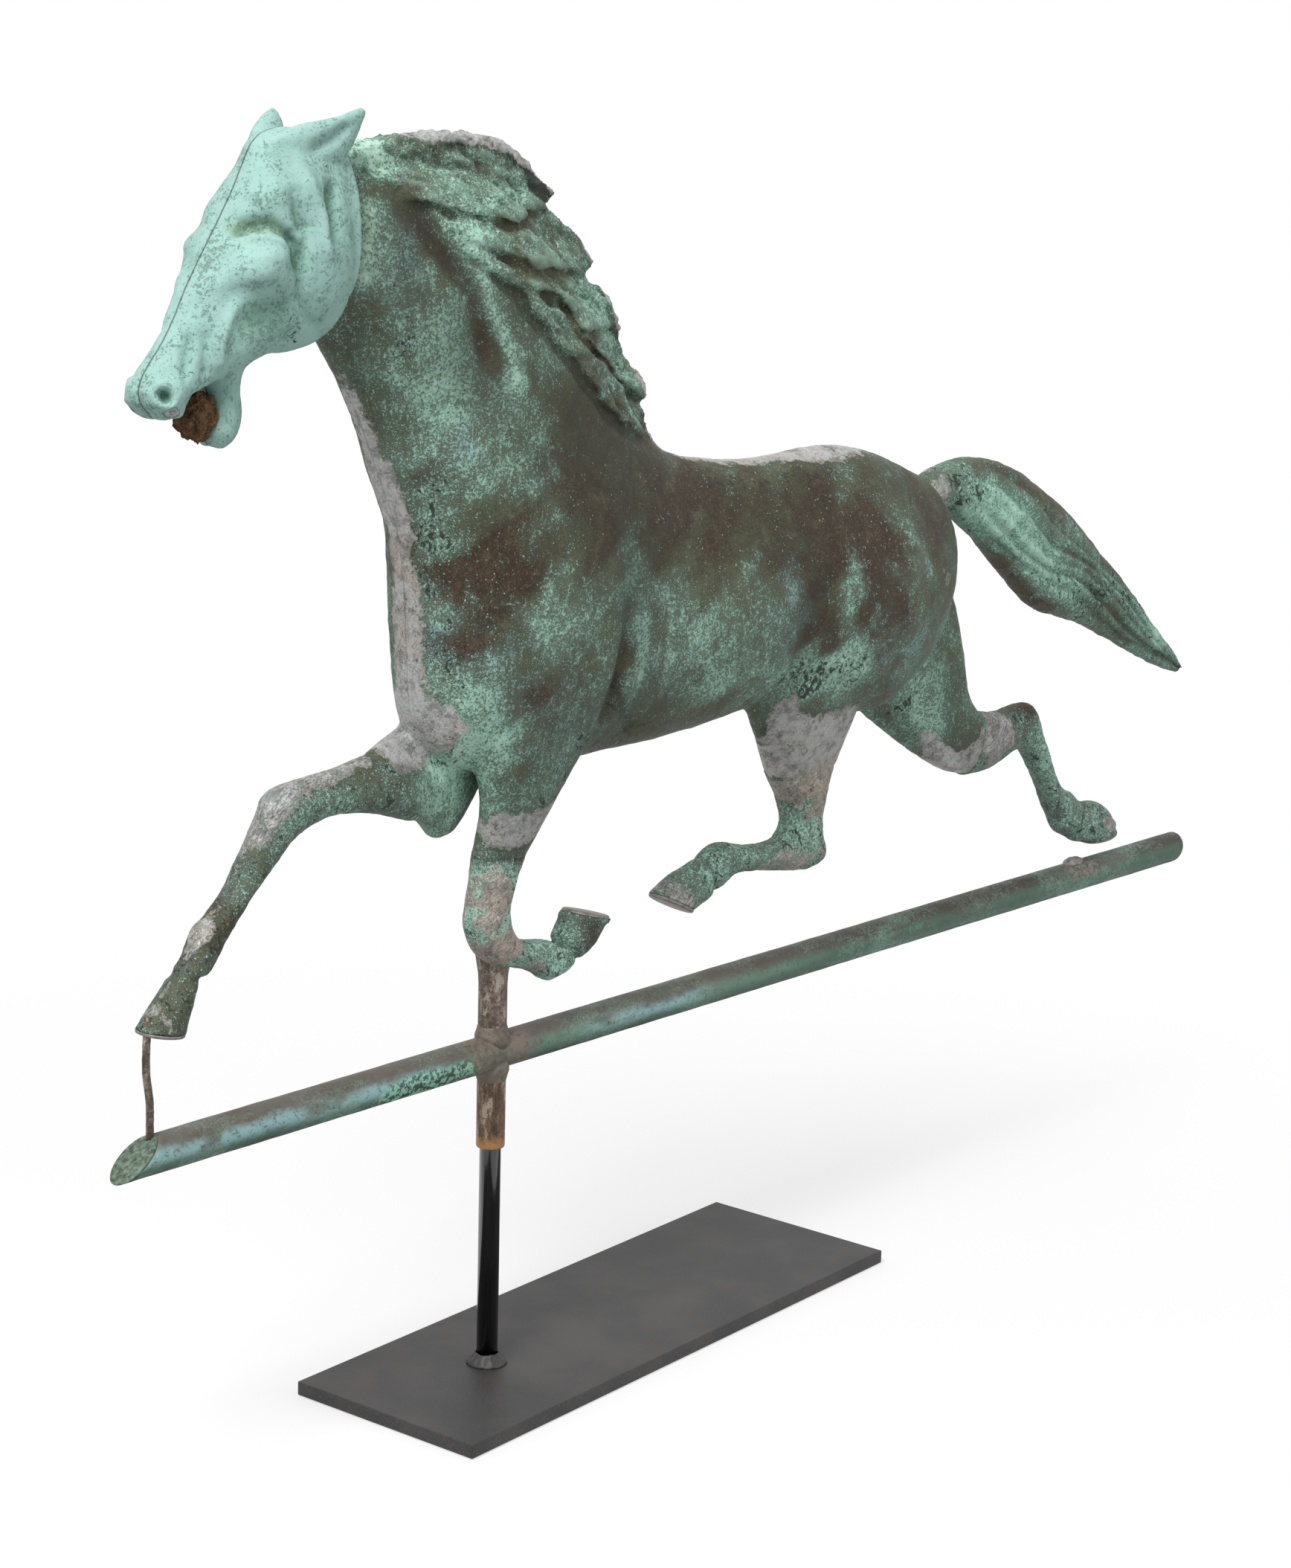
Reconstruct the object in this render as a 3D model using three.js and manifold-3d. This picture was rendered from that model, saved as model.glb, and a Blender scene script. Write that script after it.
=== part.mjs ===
// Full-bodied trotting horse weathervane on a display stand, in millimetres, +Z up.
// Two stamped half shells meet on the centre plane y = 0; the horse looks toward -X and its left side
// (the near side) faces -Y. The origin is on the underside of the base plate, below the spin axis.
import * as THREE from "three";
import { mergeVertices } from "three/addons/utils/BufferGeometryUtils.js";
import Module from "manifold-3d";

const wasm = await Module();
wasm.setup();

// Stand
const plateLength = 304.8;
const plateWidth = 101.6;
const plateThickness = 6.35;
const plateEdge = 0.6;
const plateFrontReach = 71.5;
const plateNearReach = 53.8;
const plateTurn = 0.0623;
const rodDiameter = 9.525;
const rodTipRadius = 1.6;
const rodTipLength = 5;
const weldHeight = 5;
const weldWidth = 4.2;

// Mast tube that turns on the rod
const mastDiameter = 12.7;
const mastBore = 10.3;
const mastBottom = 107.8;
const mastRimRadius = 1;
const mastIntoKnee = 6;
const plugThickness = 5;
const tipClearance = 0.3;

// Cross bar
const barDiameter = 15.9;
const barBore = 13;
const barHeight = 151.2;
const barFrontReach = 202.5;
const barRearReach = 535.5;
const frontBevel = 1.2;
const rearBevel = 0.3;
const capThickness = 1.6;
const solderWidth = 1.2;
const solderHeight = 4.5;

// Horse
const bodyLength = 400;
const horseHeight = 400;
const bodyThickness = 72;
const legThickness = 24;
const headThickness = 46;
const tailThickness = 28;
const crestThickness = 8;
const crestEdge = 1.6;
const sheet = 1;
const soleThickness = 1.5;
const legOffset = 4;
const shoulderOffset = 16;
const earRootOffset = 8;
const nearEarTipOffset = 17;
const farEarTipOffset = 15;
const lockThickness = 11;
const lumpLength = 22;
const lumpHeight = 22;
const lumpWidth = 17;

// Struts and small pieces
const strutDiameter = 3.2;
const stubDiameter = 8;
const stubHeight = 4;
const strutBend = 28;

// Fits
const seatGap = 0.3;
const overrun = 3;
const weldDistance = 1e-4;

// Side-view stations: upper edge x and z, lower edge x and z as shares of bodyLength and horseHeight
// (z counted from the top of the bar), and the half width as a share of the piece's thickness
const trunkShares = [
  [-0.263, 0.925, -0.290, 0.812, 0.17],
  [-0.233, 0.935, -0.260, 0.770, 0.20],
  [-0.165, 0.942, -0.224, 0.717, 0.25],
  [-0.090, 0.937, -0.194, 0.662, 0.31],
  [-0.020, 0.910, -0.170, 0.610, 0.36],
  [0.040, 0.860, -0.149, 0.560, 0.40],
  [0.090, 0.802, -0.140, 0.502, 0.43],
  [0.135, 0.740, -0.136, 0.442, 0.46],
  [0.180, 0.675, -0.131, 0.382, 0.47],
  [0.225, 0.632, -0.113, 0.340, 0.48],
  [0.270, 0.613, -0.045, 0.305, 0.49],
  [0.310, 0.606, 0.030, 0.291, 0.49],
  [0.350, 0.601, 0.125, 0.295, 0.49],
  [0.395, 0.597, 0.225, 0.296, 0.50],
  [0.450, 0.597, 0.325, 0.302, 0.50],
  [0.505, 0.599, 0.420, 0.312, 0.50],
  [0.560, 0.599, 0.507, 0.292, 0.50],
  [0.610, 0.590, 0.580, 0.277, 0.50],
  [0.655, 0.576, 0.625, 0.272, 0.48],
  [0.690, 0.561, 0.675, 0.292, 0.43],
  [0.720, 0.548, 0.718, 0.320, 0.35],
  [0.745, 0.528, 0.750, 0.357, 0.26],
  [0.762, 0.508, 0.767, 0.397, 0.17],
  [0.772, 0.490, 0.777, 0.437, 0.09],
];
const nearForeUpperShares = [
  [-0.075, 0.397, 0.135, 0.407, 0.50],
  [-0.065, 0.342, 0.120, 0.352, 0.50],
  [-0.050, 0.295, 0.092, 0.305, 0.48],
  [-0.040, 0.262, 0.068, 0.267, 0.46],
  [-0.039, 0.230, 0.044, 0.230, 0.43],
  [-0.039, 0.205, 0.028, 0.202, 0.40],
];
const nearForeLowerShares = [
  [-0.039, 0.205, 0.028, 0.202, 0.40],
  [-0.043, 0.177, 0.015, 0.177, 0.38],
  [-0.046, 0.152, 0.007, 0.152, 0.36],
  [-0.046, 0.130, 0.007, 0.132, 0.38],
  [-0.040, 0.108, 0.011, 0.120, 0.39],
  [-0.020, 0.087, 0.020, 0.110, 0.38],
  [0.010, 0.077, 0.030, 0.103, 0.33],
  [0.035, 0.070, 0.043, 0.101, 0.29],
  [0.055, 0.060, 0.061, 0.098, 0.29],
  [0.072, 0.053, 0.077, 0.095, 0.31],
  [0.092, 0.053, 0.086, 0.092, 0.31],
  [0.115, 0.063, 0.092, 0.100, 0.33],
  [0.140, 0.077, 0.099, 0.111, 0.37],
  [0.164, 0.103, 0.106, 0.120, 0.40],
];
const farForeUpperShares = [
  [-0.015, 0.397, 0.037, 0.307, 0.46],
  [-0.070, 0.367, -0.003, 0.271, 0.48],
  [-0.115, 0.355, -0.049, 0.231, 0.48],
  [-0.147, 0.348, -0.087, 0.243, 0.46],
  [-0.177, 0.338, -0.130, 0.261, 0.44],
];
const farForeLowerShares = [
  [-0.177, 0.338, -0.130, 0.261, 0.44],
  [-0.217, 0.331, -0.182, 0.277, 0.42],
  [-0.260, 0.327, -0.235, 0.283, 0.40],
  [-0.297, 0.322, -0.279, 0.273, 0.38],
  [-0.321, 0.305, -0.304, 0.257, 0.37],
  [-0.343, 0.272, -0.328, 0.236, 0.33],
  [-0.367, 0.233, -0.354, 0.212, 0.31],
  [-0.395, 0.206, -0.376, 0.187, 0.30],
  [-0.417, 0.185, -0.391, 0.167, 0.32],
  [-0.429, 0.166, -0.401, 0.153, 0.31],
  [-0.445, 0.150, -0.416, 0.142, 0.31],
  [-0.465, 0.128, -0.426, 0.120, 0.35],
  [-0.485, 0.106, -0.435, 0.096, 0.39],
];
const nearHindUpperShares = [
  [0.352, 0.377, 0.590, 0.392, 0.50],
  [0.370, 0.342, 0.590, 0.342, 0.50],
  [0.396, 0.295, 0.586, 0.297, 0.50],
  [0.426, 0.255, 0.571, 0.257, 0.50],
  [0.454, 0.217, 0.555, 0.221, 0.50],
];
const nearHindLowerShares = [
  [0.454, 0.217, 0.555, 0.221, 0.50],
  [0.472, 0.190, 0.545, 0.193, 0.46],
  [0.480, 0.165, 0.539, 0.165, 0.42],
  [0.476, 0.148, 0.539, 0.137, 0.40],
  [0.461, 0.142, 0.544, 0.108, 0.40],
  [0.441, 0.141, 0.517, 0.098, 0.38],
  [0.416, 0.143, 0.468, 0.104, 0.34],
  [0.386, 0.150, 0.417, 0.113, 0.33],
  [0.359, 0.153, 0.381, 0.114, 0.33],
  [0.336, 0.148, 0.362, 0.105, 0.33],
  [0.319, 0.141, 0.347, 0.101, 0.33],
  [0.297, 0.135, 0.336, 0.094, 0.35],
  [0.274, 0.127, 0.319, 0.089, 0.38],
  [0.253, 0.115, 0.309, 0.086, 0.39],
];
const farHindUpperShares = [
  [0.630, 0.427, 0.600, 0.307, 0.50],
  [0.725, 0.462, 0.655, 0.272, 0.50],
  [0.810, 0.427, 0.710, 0.232, 0.50],
  [0.841, 0.345, 0.765, 0.197, 0.50],
  [0.850, 0.272, 0.820, 0.167, 0.49],
  [0.874, 0.236, 0.860, 0.156, 0.46],
];
const farHindLowerShares = [
  [0.874, 0.236, 0.860, 0.156, 0.46],
  [0.907, 0.229, 0.902, 0.157, 0.44],
  [0.938, 0.228, 0.938, 0.167, 0.42],
  [0.970, 0.232, 0.966, 0.172, 0.39],
  [0.993, 0.227, 0.988, 0.165, 0.36],
  [1.008, 0.202, 1.005, 0.146, 0.33],
  [1.024, 0.173, 1.021, 0.126, 0.32],
  [1.041, 0.142, 1.036, 0.103, 0.31],
  [1.062, 0.113, 1.050, 0.081, 0.32],
  [1.087, 0.095, 1.065, 0.059, 0.33],
  [1.111, 0.082, 1.081, 0.043, 0.33],
  [1.134, 0.076, 1.100, 0.031, 0.33],
  [1.161, 0.071, 1.116, 0.024, 0.36],
  [1.186, 0.053, 1.127, 0.022, 0.38],
  [1.201, 0.028, 1.140, 0.021, 0.39],
];
const headShares = [
  [-0.240, 0.956, -0.250, 0.802, 0.39],
  [-0.275, 0.971, -0.280, 0.772, 0.46],
  [-0.315, 0.976, -0.315, 0.762, 0.49],
  [-0.347, 0.963, -0.345, 0.761, 0.49],
  [-0.371, 0.922, -0.369, 0.753, 0.46],
  [-0.390, 0.892, -0.386, 0.745, 0.42],
  [-0.412, 0.860, -0.401, 0.740, 0.36],
  [-0.432, 0.827, -0.414, 0.736, 0.32],
  [-0.451, 0.793, -0.427, 0.731, 0.28],
  [-0.468, 0.771, -0.445, 0.722, 0.27],
  [-0.481, 0.755, -0.460, 0.712, 0.26],
  [-0.490, 0.738, -0.470, 0.707, 0.22],
  [-0.489, 0.725, -0.476, 0.710, 0.14],
];
const jawShares = [
  [-0.398, 0.762, -0.347, 0.777, 0.26],
  [-0.412, 0.745, -0.367, 0.755, 0.24],
  [-0.405, 0.727, -0.375, 0.735, 0.21],
  [-0.406, 0.705, -0.371, 0.710, 0.20],
  [-0.409, 0.690, -0.378, 0.687, 0.17],
  [-0.405, 0.677, -0.390, 0.676, 0.11],
];
const nearEarShares = [
  [-0.320, 0.967, -0.270, 0.942, 0.11],
  [-0.295, 0.977, -0.260, 0.957, 0.10],
  [-0.271, 0.988, -0.249, 0.975, 0.07],
  [-0.249, 0.996, -0.242, 0.990, 0.03],
];
const farEarShares = [
  [-0.325, 0.970, -0.280, 0.945, 0.11],
  [-0.310, 0.980, -0.275, 0.962, 0.10],
  [-0.295, 0.982, -0.278, 0.971, 0.07],
  [-0.284, 0.978, -0.278, 0.975, 0.03],
];
const tailShares = [
  [0.700, 0.537, 0.745, 0.482, 0.32],
  [0.757, 0.555, 0.779, 0.506, 0.36],
  [0.807, 0.563, 0.815, 0.480, 0.43],
  [0.863, 0.557, 0.861, 0.447, 0.46],
  [0.917, 0.540, 0.915, 0.405, 0.48],
  [0.978, 0.508, 0.975, 0.358, 0.48],
  [1.038, 0.473, 1.030, 0.339, 0.46],
  [1.110, 0.416, 1.085, 0.323, 0.43],
  [1.192, 0.355, 1.157, 0.292, 0.38],
  [1.252, 0.301, 1.225, 0.262, 0.30],
  [1.300, 0.263, 1.280, 0.240, 0.23],
  [1.331, 0.235, 1.320, 0.228, 0.11],
];
const crestShares = [
  [-0.250, 0.942], [-0.230, 0.956], [-0.200, 0.961], [-0.155, 0.967], [-0.100, 0.968],
  [-0.045, 0.967], [-0.015, 0.956], [0.007, 0.947], [0.033, 0.926], [0.061, 0.903], [0.036, 0.890],
  [0.070, 0.876], [0.100, 0.856], [0.125, 0.831], [0.104, 0.819], [0.133, 0.802], [0.155, 0.778],
  [0.170, 0.756], [0.160, 0.747], [0.180, 0.726], [0.198, 0.705], [0.210, 0.683], [0.201, 0.678],
  [0.210, 0.662], [0.216, 0.643], [0.237, 0.625], [0.175, 0.632], [0.100, 0.727], [0.050, 0.802],
  [-0.025, 0.877], [-0.125, 0.915], [-0.212, 0.917],
];
// Locks of the mane: root, bend and tip in the side view, and the width as a share of bodyLength
const lockShares = [
  [[-0.215, 0.938], [-0.15, 0.955], [-0.05, 0.958], 0.024],
  [[-0.16, 0.928], [-0.05, 0.948], [0.055, 0.9], 0.044],
  [[-0.1, 0.914], [0.005, 0.906], [0.115, 0.832], 0.044],
  [[-0.035, 0.882], [0.062, 0.85], [0.158, 0.76], 0.042],
  [[0.025, 0.828], [0.105, 0.782], [0.197, 0.688], 0.038],
  [[0.08, 0.765], [0.14, 0.718], [0.208, 0.65], 0.03],
];
// Width and thickness of a lock from root to tip
const lockSpreadShares = [0.25, 0.75, 1, 0.95, 0.7, 0.08];
const strutFootShare = -0.483;
const strutBendShare = -0.483;
const strutHeadShare = -0.476;
const stubShare = 1.095;
const lumpShares = [-0.424, 0.707];

const barTop = barHeight + barDiameter / 2;
const placeX = (share) => share * bodyLength;
const placeZ = (share) => barTop + share * horseHeight;

// Two curves through the upper and the lower edge points; the upper curve's y carries the half width
function edgeCurves(shares, thickness, offsets) {
  const upper = [];
  const lower = [];
  shares.forEach((row, index) => {
    upper.push(new THREE.Vector3(placeX(row[0]), row[4] * thickness, placeZ(row[1])));
    lower.push(new THREE.Vector3(placeX(row[2]), offsets[index], placeZ(row[3])));
  });
  return {
    upper: new THREE.CatmullRomCurve3(upper, false, "catmullrom", 0.5),
    lower: new THREE.CatmullRomCurve3(lower, false, "catmullrom", 0.5),
  };
}

// The rings of a loft: each is an oval in the plane that holds both edge points and the Y direction
function loftRings(given, inset, startShift, endShift) {
  const form = inset > 0 ? coarser(given) : given;
  const curves = edgeCurves(form.shares, form.thickness, form.offsets);
  const rings = [];
  for (let i = 0; i <= form.along; i += 1) {
    const top = curves.upper.getPoint(i / form.along);
    const bottom = curves.lower.getPoint(i / form.along);
    const halfWidth = Math.max(top.y - inset, sheet / 2);
    const middle = bottom.y;
    const centre = new THREE.Vector2((top.x + bottom.x) / 2, (top.z + bottom.z) / 2);
    const reach = new THREE.Vector2((top.x - bottom.x) / 2, (top.z - bottom.z) / 2);
    reach.setLength(Math.max(reach.length() - inset, sheet / 2));
    rings.push({ centre, reach, halfWidth, middle });
  }
  shiftRing(rings[0], rings[1], startShift);
  shiftRing(rings[form.along], rings[form.along - 1], endShift);
  return rings.map((ring) => ringPoints(ring, form));
}

// An inner skin is hardly seen, so its rings get every second point unless the form has fine relief
function coarser(form) {
  return form.fineRelief ? form : { ...form, around: form.around / 2 };
}

// Moves an end ring away from its neighbour, or toward it for a negative distance
function shiftRing(ring, neighbour, distance) {
  const step = ring.centre.clone().sub(neighbour.centre).setLength(distance || 1);
  if (distance) ring.centre.add(step);
}

function ringPoints(ring, form) {
  const points = [];
  for (let k = 0; k < form.around; k += 1) {
    const angle = (2 * Math.PI * k) / form.around;
    const rise = Math.cos(angle);
    const side = Math.sin(angle);
    const x = ring.centre.x + ring.reach.x * rise;
    const z = ring.centre.y + ring.reach.y * rise;
    const round = Math.sign(side) * Math.abs(side) ** form.roundness * (1 - form.lean * rise);
    const relief = form.relief ? form.relief(x, z, Math.sign(side)) * side * side : 0;
    points.push(new THREE.Vector3(x, ring.middle - ring.halfWidth * round - relief * Math.sign(side), z));
  }
  return points;
}

// Closes a row of rings into one solid, with its faces turned outward
function closedSkin(rings) {
  const around = rings[0].length;
  const points = rings.flat();
  const triangles = [];
  for (let i = 0; i + 1 < rings.length; i += 1) {
    for (let k = 0; k < around; k += 1) {
      const a = i * around + k;
      const b = i * around + ((k + 1) % around);
      triangles.push([a, b, b + around], [a, b + around, a + around]);
    }
  }
  [0, rings.length - 1].forEach((end) => {
    const hub = points.length;
    const total = new THREE.Vector3();
    rings[end].forEach((point) => total.add(point));
    points.push(total.divideScalar(around));
    for (let k = 0; k < around; k += 1) {
      const a = end * around + k;
      const b = end * around + ((k + 1) % around);
      triangles.push(end === 0 ? [hub, b, a] : [hub, a, b]);
    }
  });
  let volume = 0;
  triangles.forEach(([a, b, c]) => {
    volume += points[a].dot(points[b].clone().cross(points[c]));
  });
  const turned = volume < 0 ? triangles.map(([a, b, c]) => [a, c, b]) : triangles;
  const geometry = new THREE.BufferGeometry();
  const positions = points.flatMap((point) => [point.x, point.y, point.z]);
  geometry.setAttribute("position", new THREE.Float32BufferAttribute(positions, 3));
  geometry.setIndex(turned.flat());
  return geometry;
}

function solidOf(geometry) {
  const bare = geometry.clone();
  bare.deleteAttribute("normal");
  bare.deleteAttribute("uv");
  const merged = mergeVertices(bare, weldDistance);
  const vertProperties = new Float32Array(merged.attributes.position.array);
  const triVerts = new Uint32Array(merged.index.array);
  return new wasm.Manifold(new wasm.Mesh({ numProp: 3, vertProperties, triVerts }));
}

function geometryOf(solid) {
  const mesh = solid.getMesh();
  const geometry = new THREE.BufferGeometry();
  geometry.setAttribute("position", new THREE.BufferAttribute(mesh.vertProperties, 3));
  geometry.setIndex(new THREE.BufferAttribute(mesh.triVerts, 1));
  geometry.computeVertexNormals();
  return geometry;
}

function loft(form, inset = 0, startShift = -inset, endShift = -inset) {
  return solidOf(closedSkin(loftRings(form, inset, startShift, endShift)));
}

function joined(solids) {
  return solids.reduce((whole, solid) => whole.add(solid));
}

// A box that holds everything on one side of the plane y = level
function sideOf(level, side) {
  const reach = bodyLength + horseHeight;
  const box = new THREE.BoxGeometry(2 * reach, reach, 2 * reach);
  box.translate(reach / 2, level + (side * reach) / 2, reach / 2);
  return solidOf(box);
}

// Relief of the near and far flanks: soft mounds and hollows, placed as shares like the stations
const mound = (x, z, across, up, height) => ({ x, z, across, up, height });
const flankShares = [
  mound(-0.04, 0.48, 0.085, 0.1, 0.04),
  mound(0.12, 0.45, 0.045, 0.11, -0.035),
  mound(0.26, 0.44, 0.11, 0.09, 0.03),
  mound(0.42, 0.43, 0.045, 0.1, -0.025),
  mound(0.555, 0.44, 0.1, 0.1, 0.045),
  mound(-0.1, 0.74, 0.045, 0.06, -0.03),
  mound(-0.125, 0.65, 0.055, 0.05, 0.025),
];
function moundSum(mounds, thickness, x, z) {
  return mounds.reduce((sum, m) => {
    const dx = (x / bodyLength - m.x) / m.across;
    const dz = ((z - barTop) / horseHeight - m.z) / m.up;
    return sum + m.height * thickness * Math.exp(-dx * dx - dz * dz);
  }, 0);
}
function flankRelief(x, z) {
  return moundSum(flankShares, bodyThickness, x, z);
}

const level = (count, value) => new Array(count).fill(value);
const slide = (count, from, to) => level(count, 0).map((zero, i) => from + ((to - from) * i) / (count - 1));
const trunk = {
  shares: trunkShares, thickness: bodyThickness, offsets: level(trunkShares.length, 0),
  along: 32, around: 24, roundness: 1, lean: 0, relief: flankRelief,
};
function legForm(shares, offsets, along) {
  return { shares, thickness: legThickness, offsets, along, around: 12, roundness: 0.9, lean: 0 };
}
const upperLegs = {
  nearFore: legForm(nearForeUpperShares, slide(nearForeUpperShares.length, -shoulderOffset, -legOffset), 8),
  nearHind: legForm(nearHindUpperShares, slide(nearHindUpperShares.length, -shoulderOffset, -legOffset), 8),
  farFore: legForm(farForeUpperShares, slide(farForeUpperShares.length, shoulderOffset, legOffset), 8),
  farHind: legForm(farHindUpperShares, slide(farHindUpperShares.length, shoulderOffset, legOffset), 10),
};
const lowerLegs = {
  nearFore: legForm(nearForeLowerShares, level(nearForeLowerShares.length, -legOffset), 19),
  nearHind: legForm(nearHindLowerShares, level(nearHindLowerShares.length, -legOffset), 18),
  farFore: legForm(farForeLowerShares, level(farForeLowerShares.length, legOffset), 17),
  farHind: legForm(farHindLowerShares, level(farHindLowerShares.length, legOffset), 19),
};

// Serrated crest of the mane, a flat flange on the centre plane
function crestSolid() {
  const outline = new THREE.Shape(crestShares.map(([x, z]) => new THREE.Vector2(placeX(x), placeZ(z))));
  const flange = new THREE.ExtrudeGeometry(outline, {
    depth: crestThickness - 2 * crestEdge, bevelThickness: crestEdge, bevelSize: crestEdge,
    bevelOffset: -crestEdge, bevelSegments: 1,
  });
  flange.rotateX(Math.PI / 2);
  flange.translate(0, crestThickness / 2 - crestEdge, 0);
  return solidOf(flange);
}

// One lock: lens-shaped sections set square to a curve from root to tip
function lockSolid([root, bend, tip, spread]) {
  const point = ([x, z]) => new THREE.Vector2(placeX(x), placeZ(z));
  const line = new THREE.QuadraticBezierCurve(point(root), point(bend), point(tip));
  const rings = lockSpreadShares.map((swell, i) => {
    const t = i / (lockSpreadShares.length - 1);
    const along = line.getTangent(t);
    const reach = new THREE.Vector2(-along.y, along.x).multiplyScalar((spread * bodyLength * swell) / 2);
    const ring = { centre: line.getPoint(t), reach, halfWidth: (lockThickness * swell) / 2, middle: 0 };
    return ringPoints(ring, { around: 8, roundness: 1, lean: 0 });
  });
  return solidOf(closedSkin(rings));
}

const nearSide = sideOf(0, -1);
const farSide = sideOf(0, 1);
const trunkOuter = joined([loft(trunk), crestSolid(), ...lockShares.map(lockSolid)]);
const trunkInner = loft(trunk, sheet);
const trunkGrown = loft(trunk, -seatGap);
const upperOuter = (names) => joined(names.map((name) => loft(upperLegs[name])));
const upperInner = (names) => joined(names.map((name) => loft(upperLegs[name], sheet, -sheet, overrun)));
const upperGrown = (names) => joined(names.map((name) => loft(upperLegs[name], -seatGap)));
const nearUpper = ["nearFore", "nearHind"];
const farUpper = ["farFore", "farHind"];
const nearBranches = upperOuter(nearUpper)
  .subtract(trunkGrown.intersect(farSide));
const farBranches = upperOuter(farUpper)
  .subtract(trunkGrown.intersect(nearSide))
  .subtract(upperGrown(nearUpper));
const leftShell = trunkOuter.intersect(nearSide)
  .add(nearBranches)
  .subtract(trunkInner)
  .subtract(upperInner(nearUpper));
const rightShell = trunkOuter.intersect(farSide)
  .add(farBranches)
  .subtract(trunkInner)
  .subtract(upperInner(farUpper));

const vane = new THREE.Group();
const stand = new THREE.Group();
const model = new THREE.Group();
model.add(stand, vane);

function finish(color, roughness, metalness) {
  return new THREE.MeshStandardMaterial({ color, roughness, metalness });
}
const verdigris = finish(0x5f8a7a, 0.8, 0.3);
const paleVerdigris = finish(0x86b9a8, 0.8, 0.2);
const darkCopper = finish(0x4d4a3c, 0.7, 0.4);
const solderGrey = finish(0x8b8682, 0.6, 0.5);
const brownIron = finish(0x5a4a40, 0.75, 0.4);
const earthBrown = finish(0x6b4a2f, 0.95, 0);
const blackRod = finish(0x151515, 0.25, 0.6);
const charcoal = finish(0x34363a, 0.6, 0.4);

function addPiece(group, name, geometry, material) {
  const mesh = new THREE.Mesh(geometry, material);
  mesh.name = name;
  group.add(mesh);
}
function addHalves(prefix, shell, level, material) {
  addPiece(vane, `${prefix}_left_shell`, geometryOf(shell.intersect(sideOf(level, -1))), material);
  addPiece(vane, `${prefix}_right_shell`, geometryOf(shell.intersect(sideOf(level, 1))), material);
}

// Head: skull and muzzle, the open lower jaw and the two swept-back ears
const faceShares = [
  mound(-0.378, 0.866, 0.026, 0.02, 0.1),
  mound(-0.368, 0.9, 0.022, 0.012, -0.05),
  mound(-0.31, 0.902, 0.012, 0.03, 0.06),
  mound(-0.288, 0.898, 0.012, 0.03, -0.05),
  mound(-0.342, 0.856, 0.014, 0.018, -0.06),
  mound(-0.293, 0.837, 0.036, 0.044, 0.07),
  mound(-0.385, 0.802, 0.024, 0.022, -0.06),
  mound(-0.417, 0.782, 0.012, 0.03, 0.04),
  mound(-0.472, 0.735, 0.016, 0.016, 0.05),
];
function faceRelief(x, z) {
  return moundSum(faceShares, headThickness, x, z);
}
const skull = {
  shares: headShares, thickness: headThickness, offsets: level(headShares.length, 0),
  along: 24, around: 24, roundness: 0.8, lean: 0.2, relief: faceRelief, fineRelief: true,
};
const jaw = {
  shares: jawShares, thickness: headThickness, offsets: level(jawShares.length, 0),
  along: 8, around: 12, roundness: 0.85, lean: 0,
};
const earForm = (shares, from, to) => ({
  shares, thickness: headThickness, offsets: slide(shares.length, from, to),
  along: 6, around: 8, roundness: 1, lean: 0,
});
const ears = [
  earForm(nearEarShares, -earRootOffset, -nearEarTipOffset),
  earForm(farEarShares, earRootOffset, farEarTipOffset),
];
const headOuter = joined([loft(skull), loft(jaw), ...ears.map((ear) => loft(ear))]);
const headInner = joined([loft(skull, sheet, overrun, -sheet), loft(jaw, sheet)]);
const headShell = headOuter.subtract(headInner).subtract(trunkGrown);
const lump = new THREE.IcosahedronGeometry(1, 2);
lump.scale(lumpLength / 2, lumpWidth / 2, lumpHeight / 2);
lump.translate(placeX(lumpShares[0]), 0, placeZ(lumpShares[1]));
const lumpSolid = solidOf(lump).subtract(loft(skull, -seatGap)).subtract(loft(jaw, -seatGap));

addPiece(vane, "body_left_shell", geometryOf(leftShell), verdigris);
addPiece(vane, "body_right_shell", geometryOf(rightShell), verdigris);
addHalves("head", headShell, 0, paleVerdigris);
addPiece(vane, "mouth_lump", geometryOf(lumpSolid), earthBrown);

// Tail
const tail = {
  shares: tailShares, thickness: tailThickness, offsets: level(tailShares.length, 0),
  along: 20, around: 12, roundness: 0.9, lean: 0,
};
const tailShell = loft(tail).subtract(loft(tail, sheet, overrun, -sheet)).subtract(trunkGrown);
addHalves("tail", tailShell, 0, verdigris);

// Mast tube and the plug that rests on the rod's tip
const mastRadius = mastDiameter / 2;
const mastTop = placeZ(nearForeLowerShares[5][1]) + mastIntoKnee;
function lathe(profile, segments = 24) {
  const geometry = new THREE.LatheGeometry(profile.map(([r, z]) => new THREE.Vector2(r, z)), segments);
  geometry.rotateX(Math.PI / 2);
  return geometry;
}
function disc(radius, bottom, top) {
  return lathe([[0, bottom], [radius, bottom], [radius, top], [0, top]]);
}
const boreRadius = mastBore / 2;
const mastProfile = [
  [boreRadius, mastBottom],
  [mastRadius - mastRimRadius, mastBottom],
  [mastRadius - mastRimRadius / 3, mastBottom + mastRimRadius / 3],
  [mastRadius, mastBottom + mastRimRadius],
  [mastRadius, mastTop],
  [boreRadius, mastTop],
  [boreRadius, mastBottom],
];
addPiece(vane, "mast_tube", lathe(mastProfile), brownIron);
addPiece(vane, "mast_plug", disc(boreRadius - seatGap, mastTop - plugThickness, mastTop), brownIron);
const mastGrown = solidOf(disc(mastRadius + seatGap, mastBottom, mastTop + seatGap));

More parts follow.
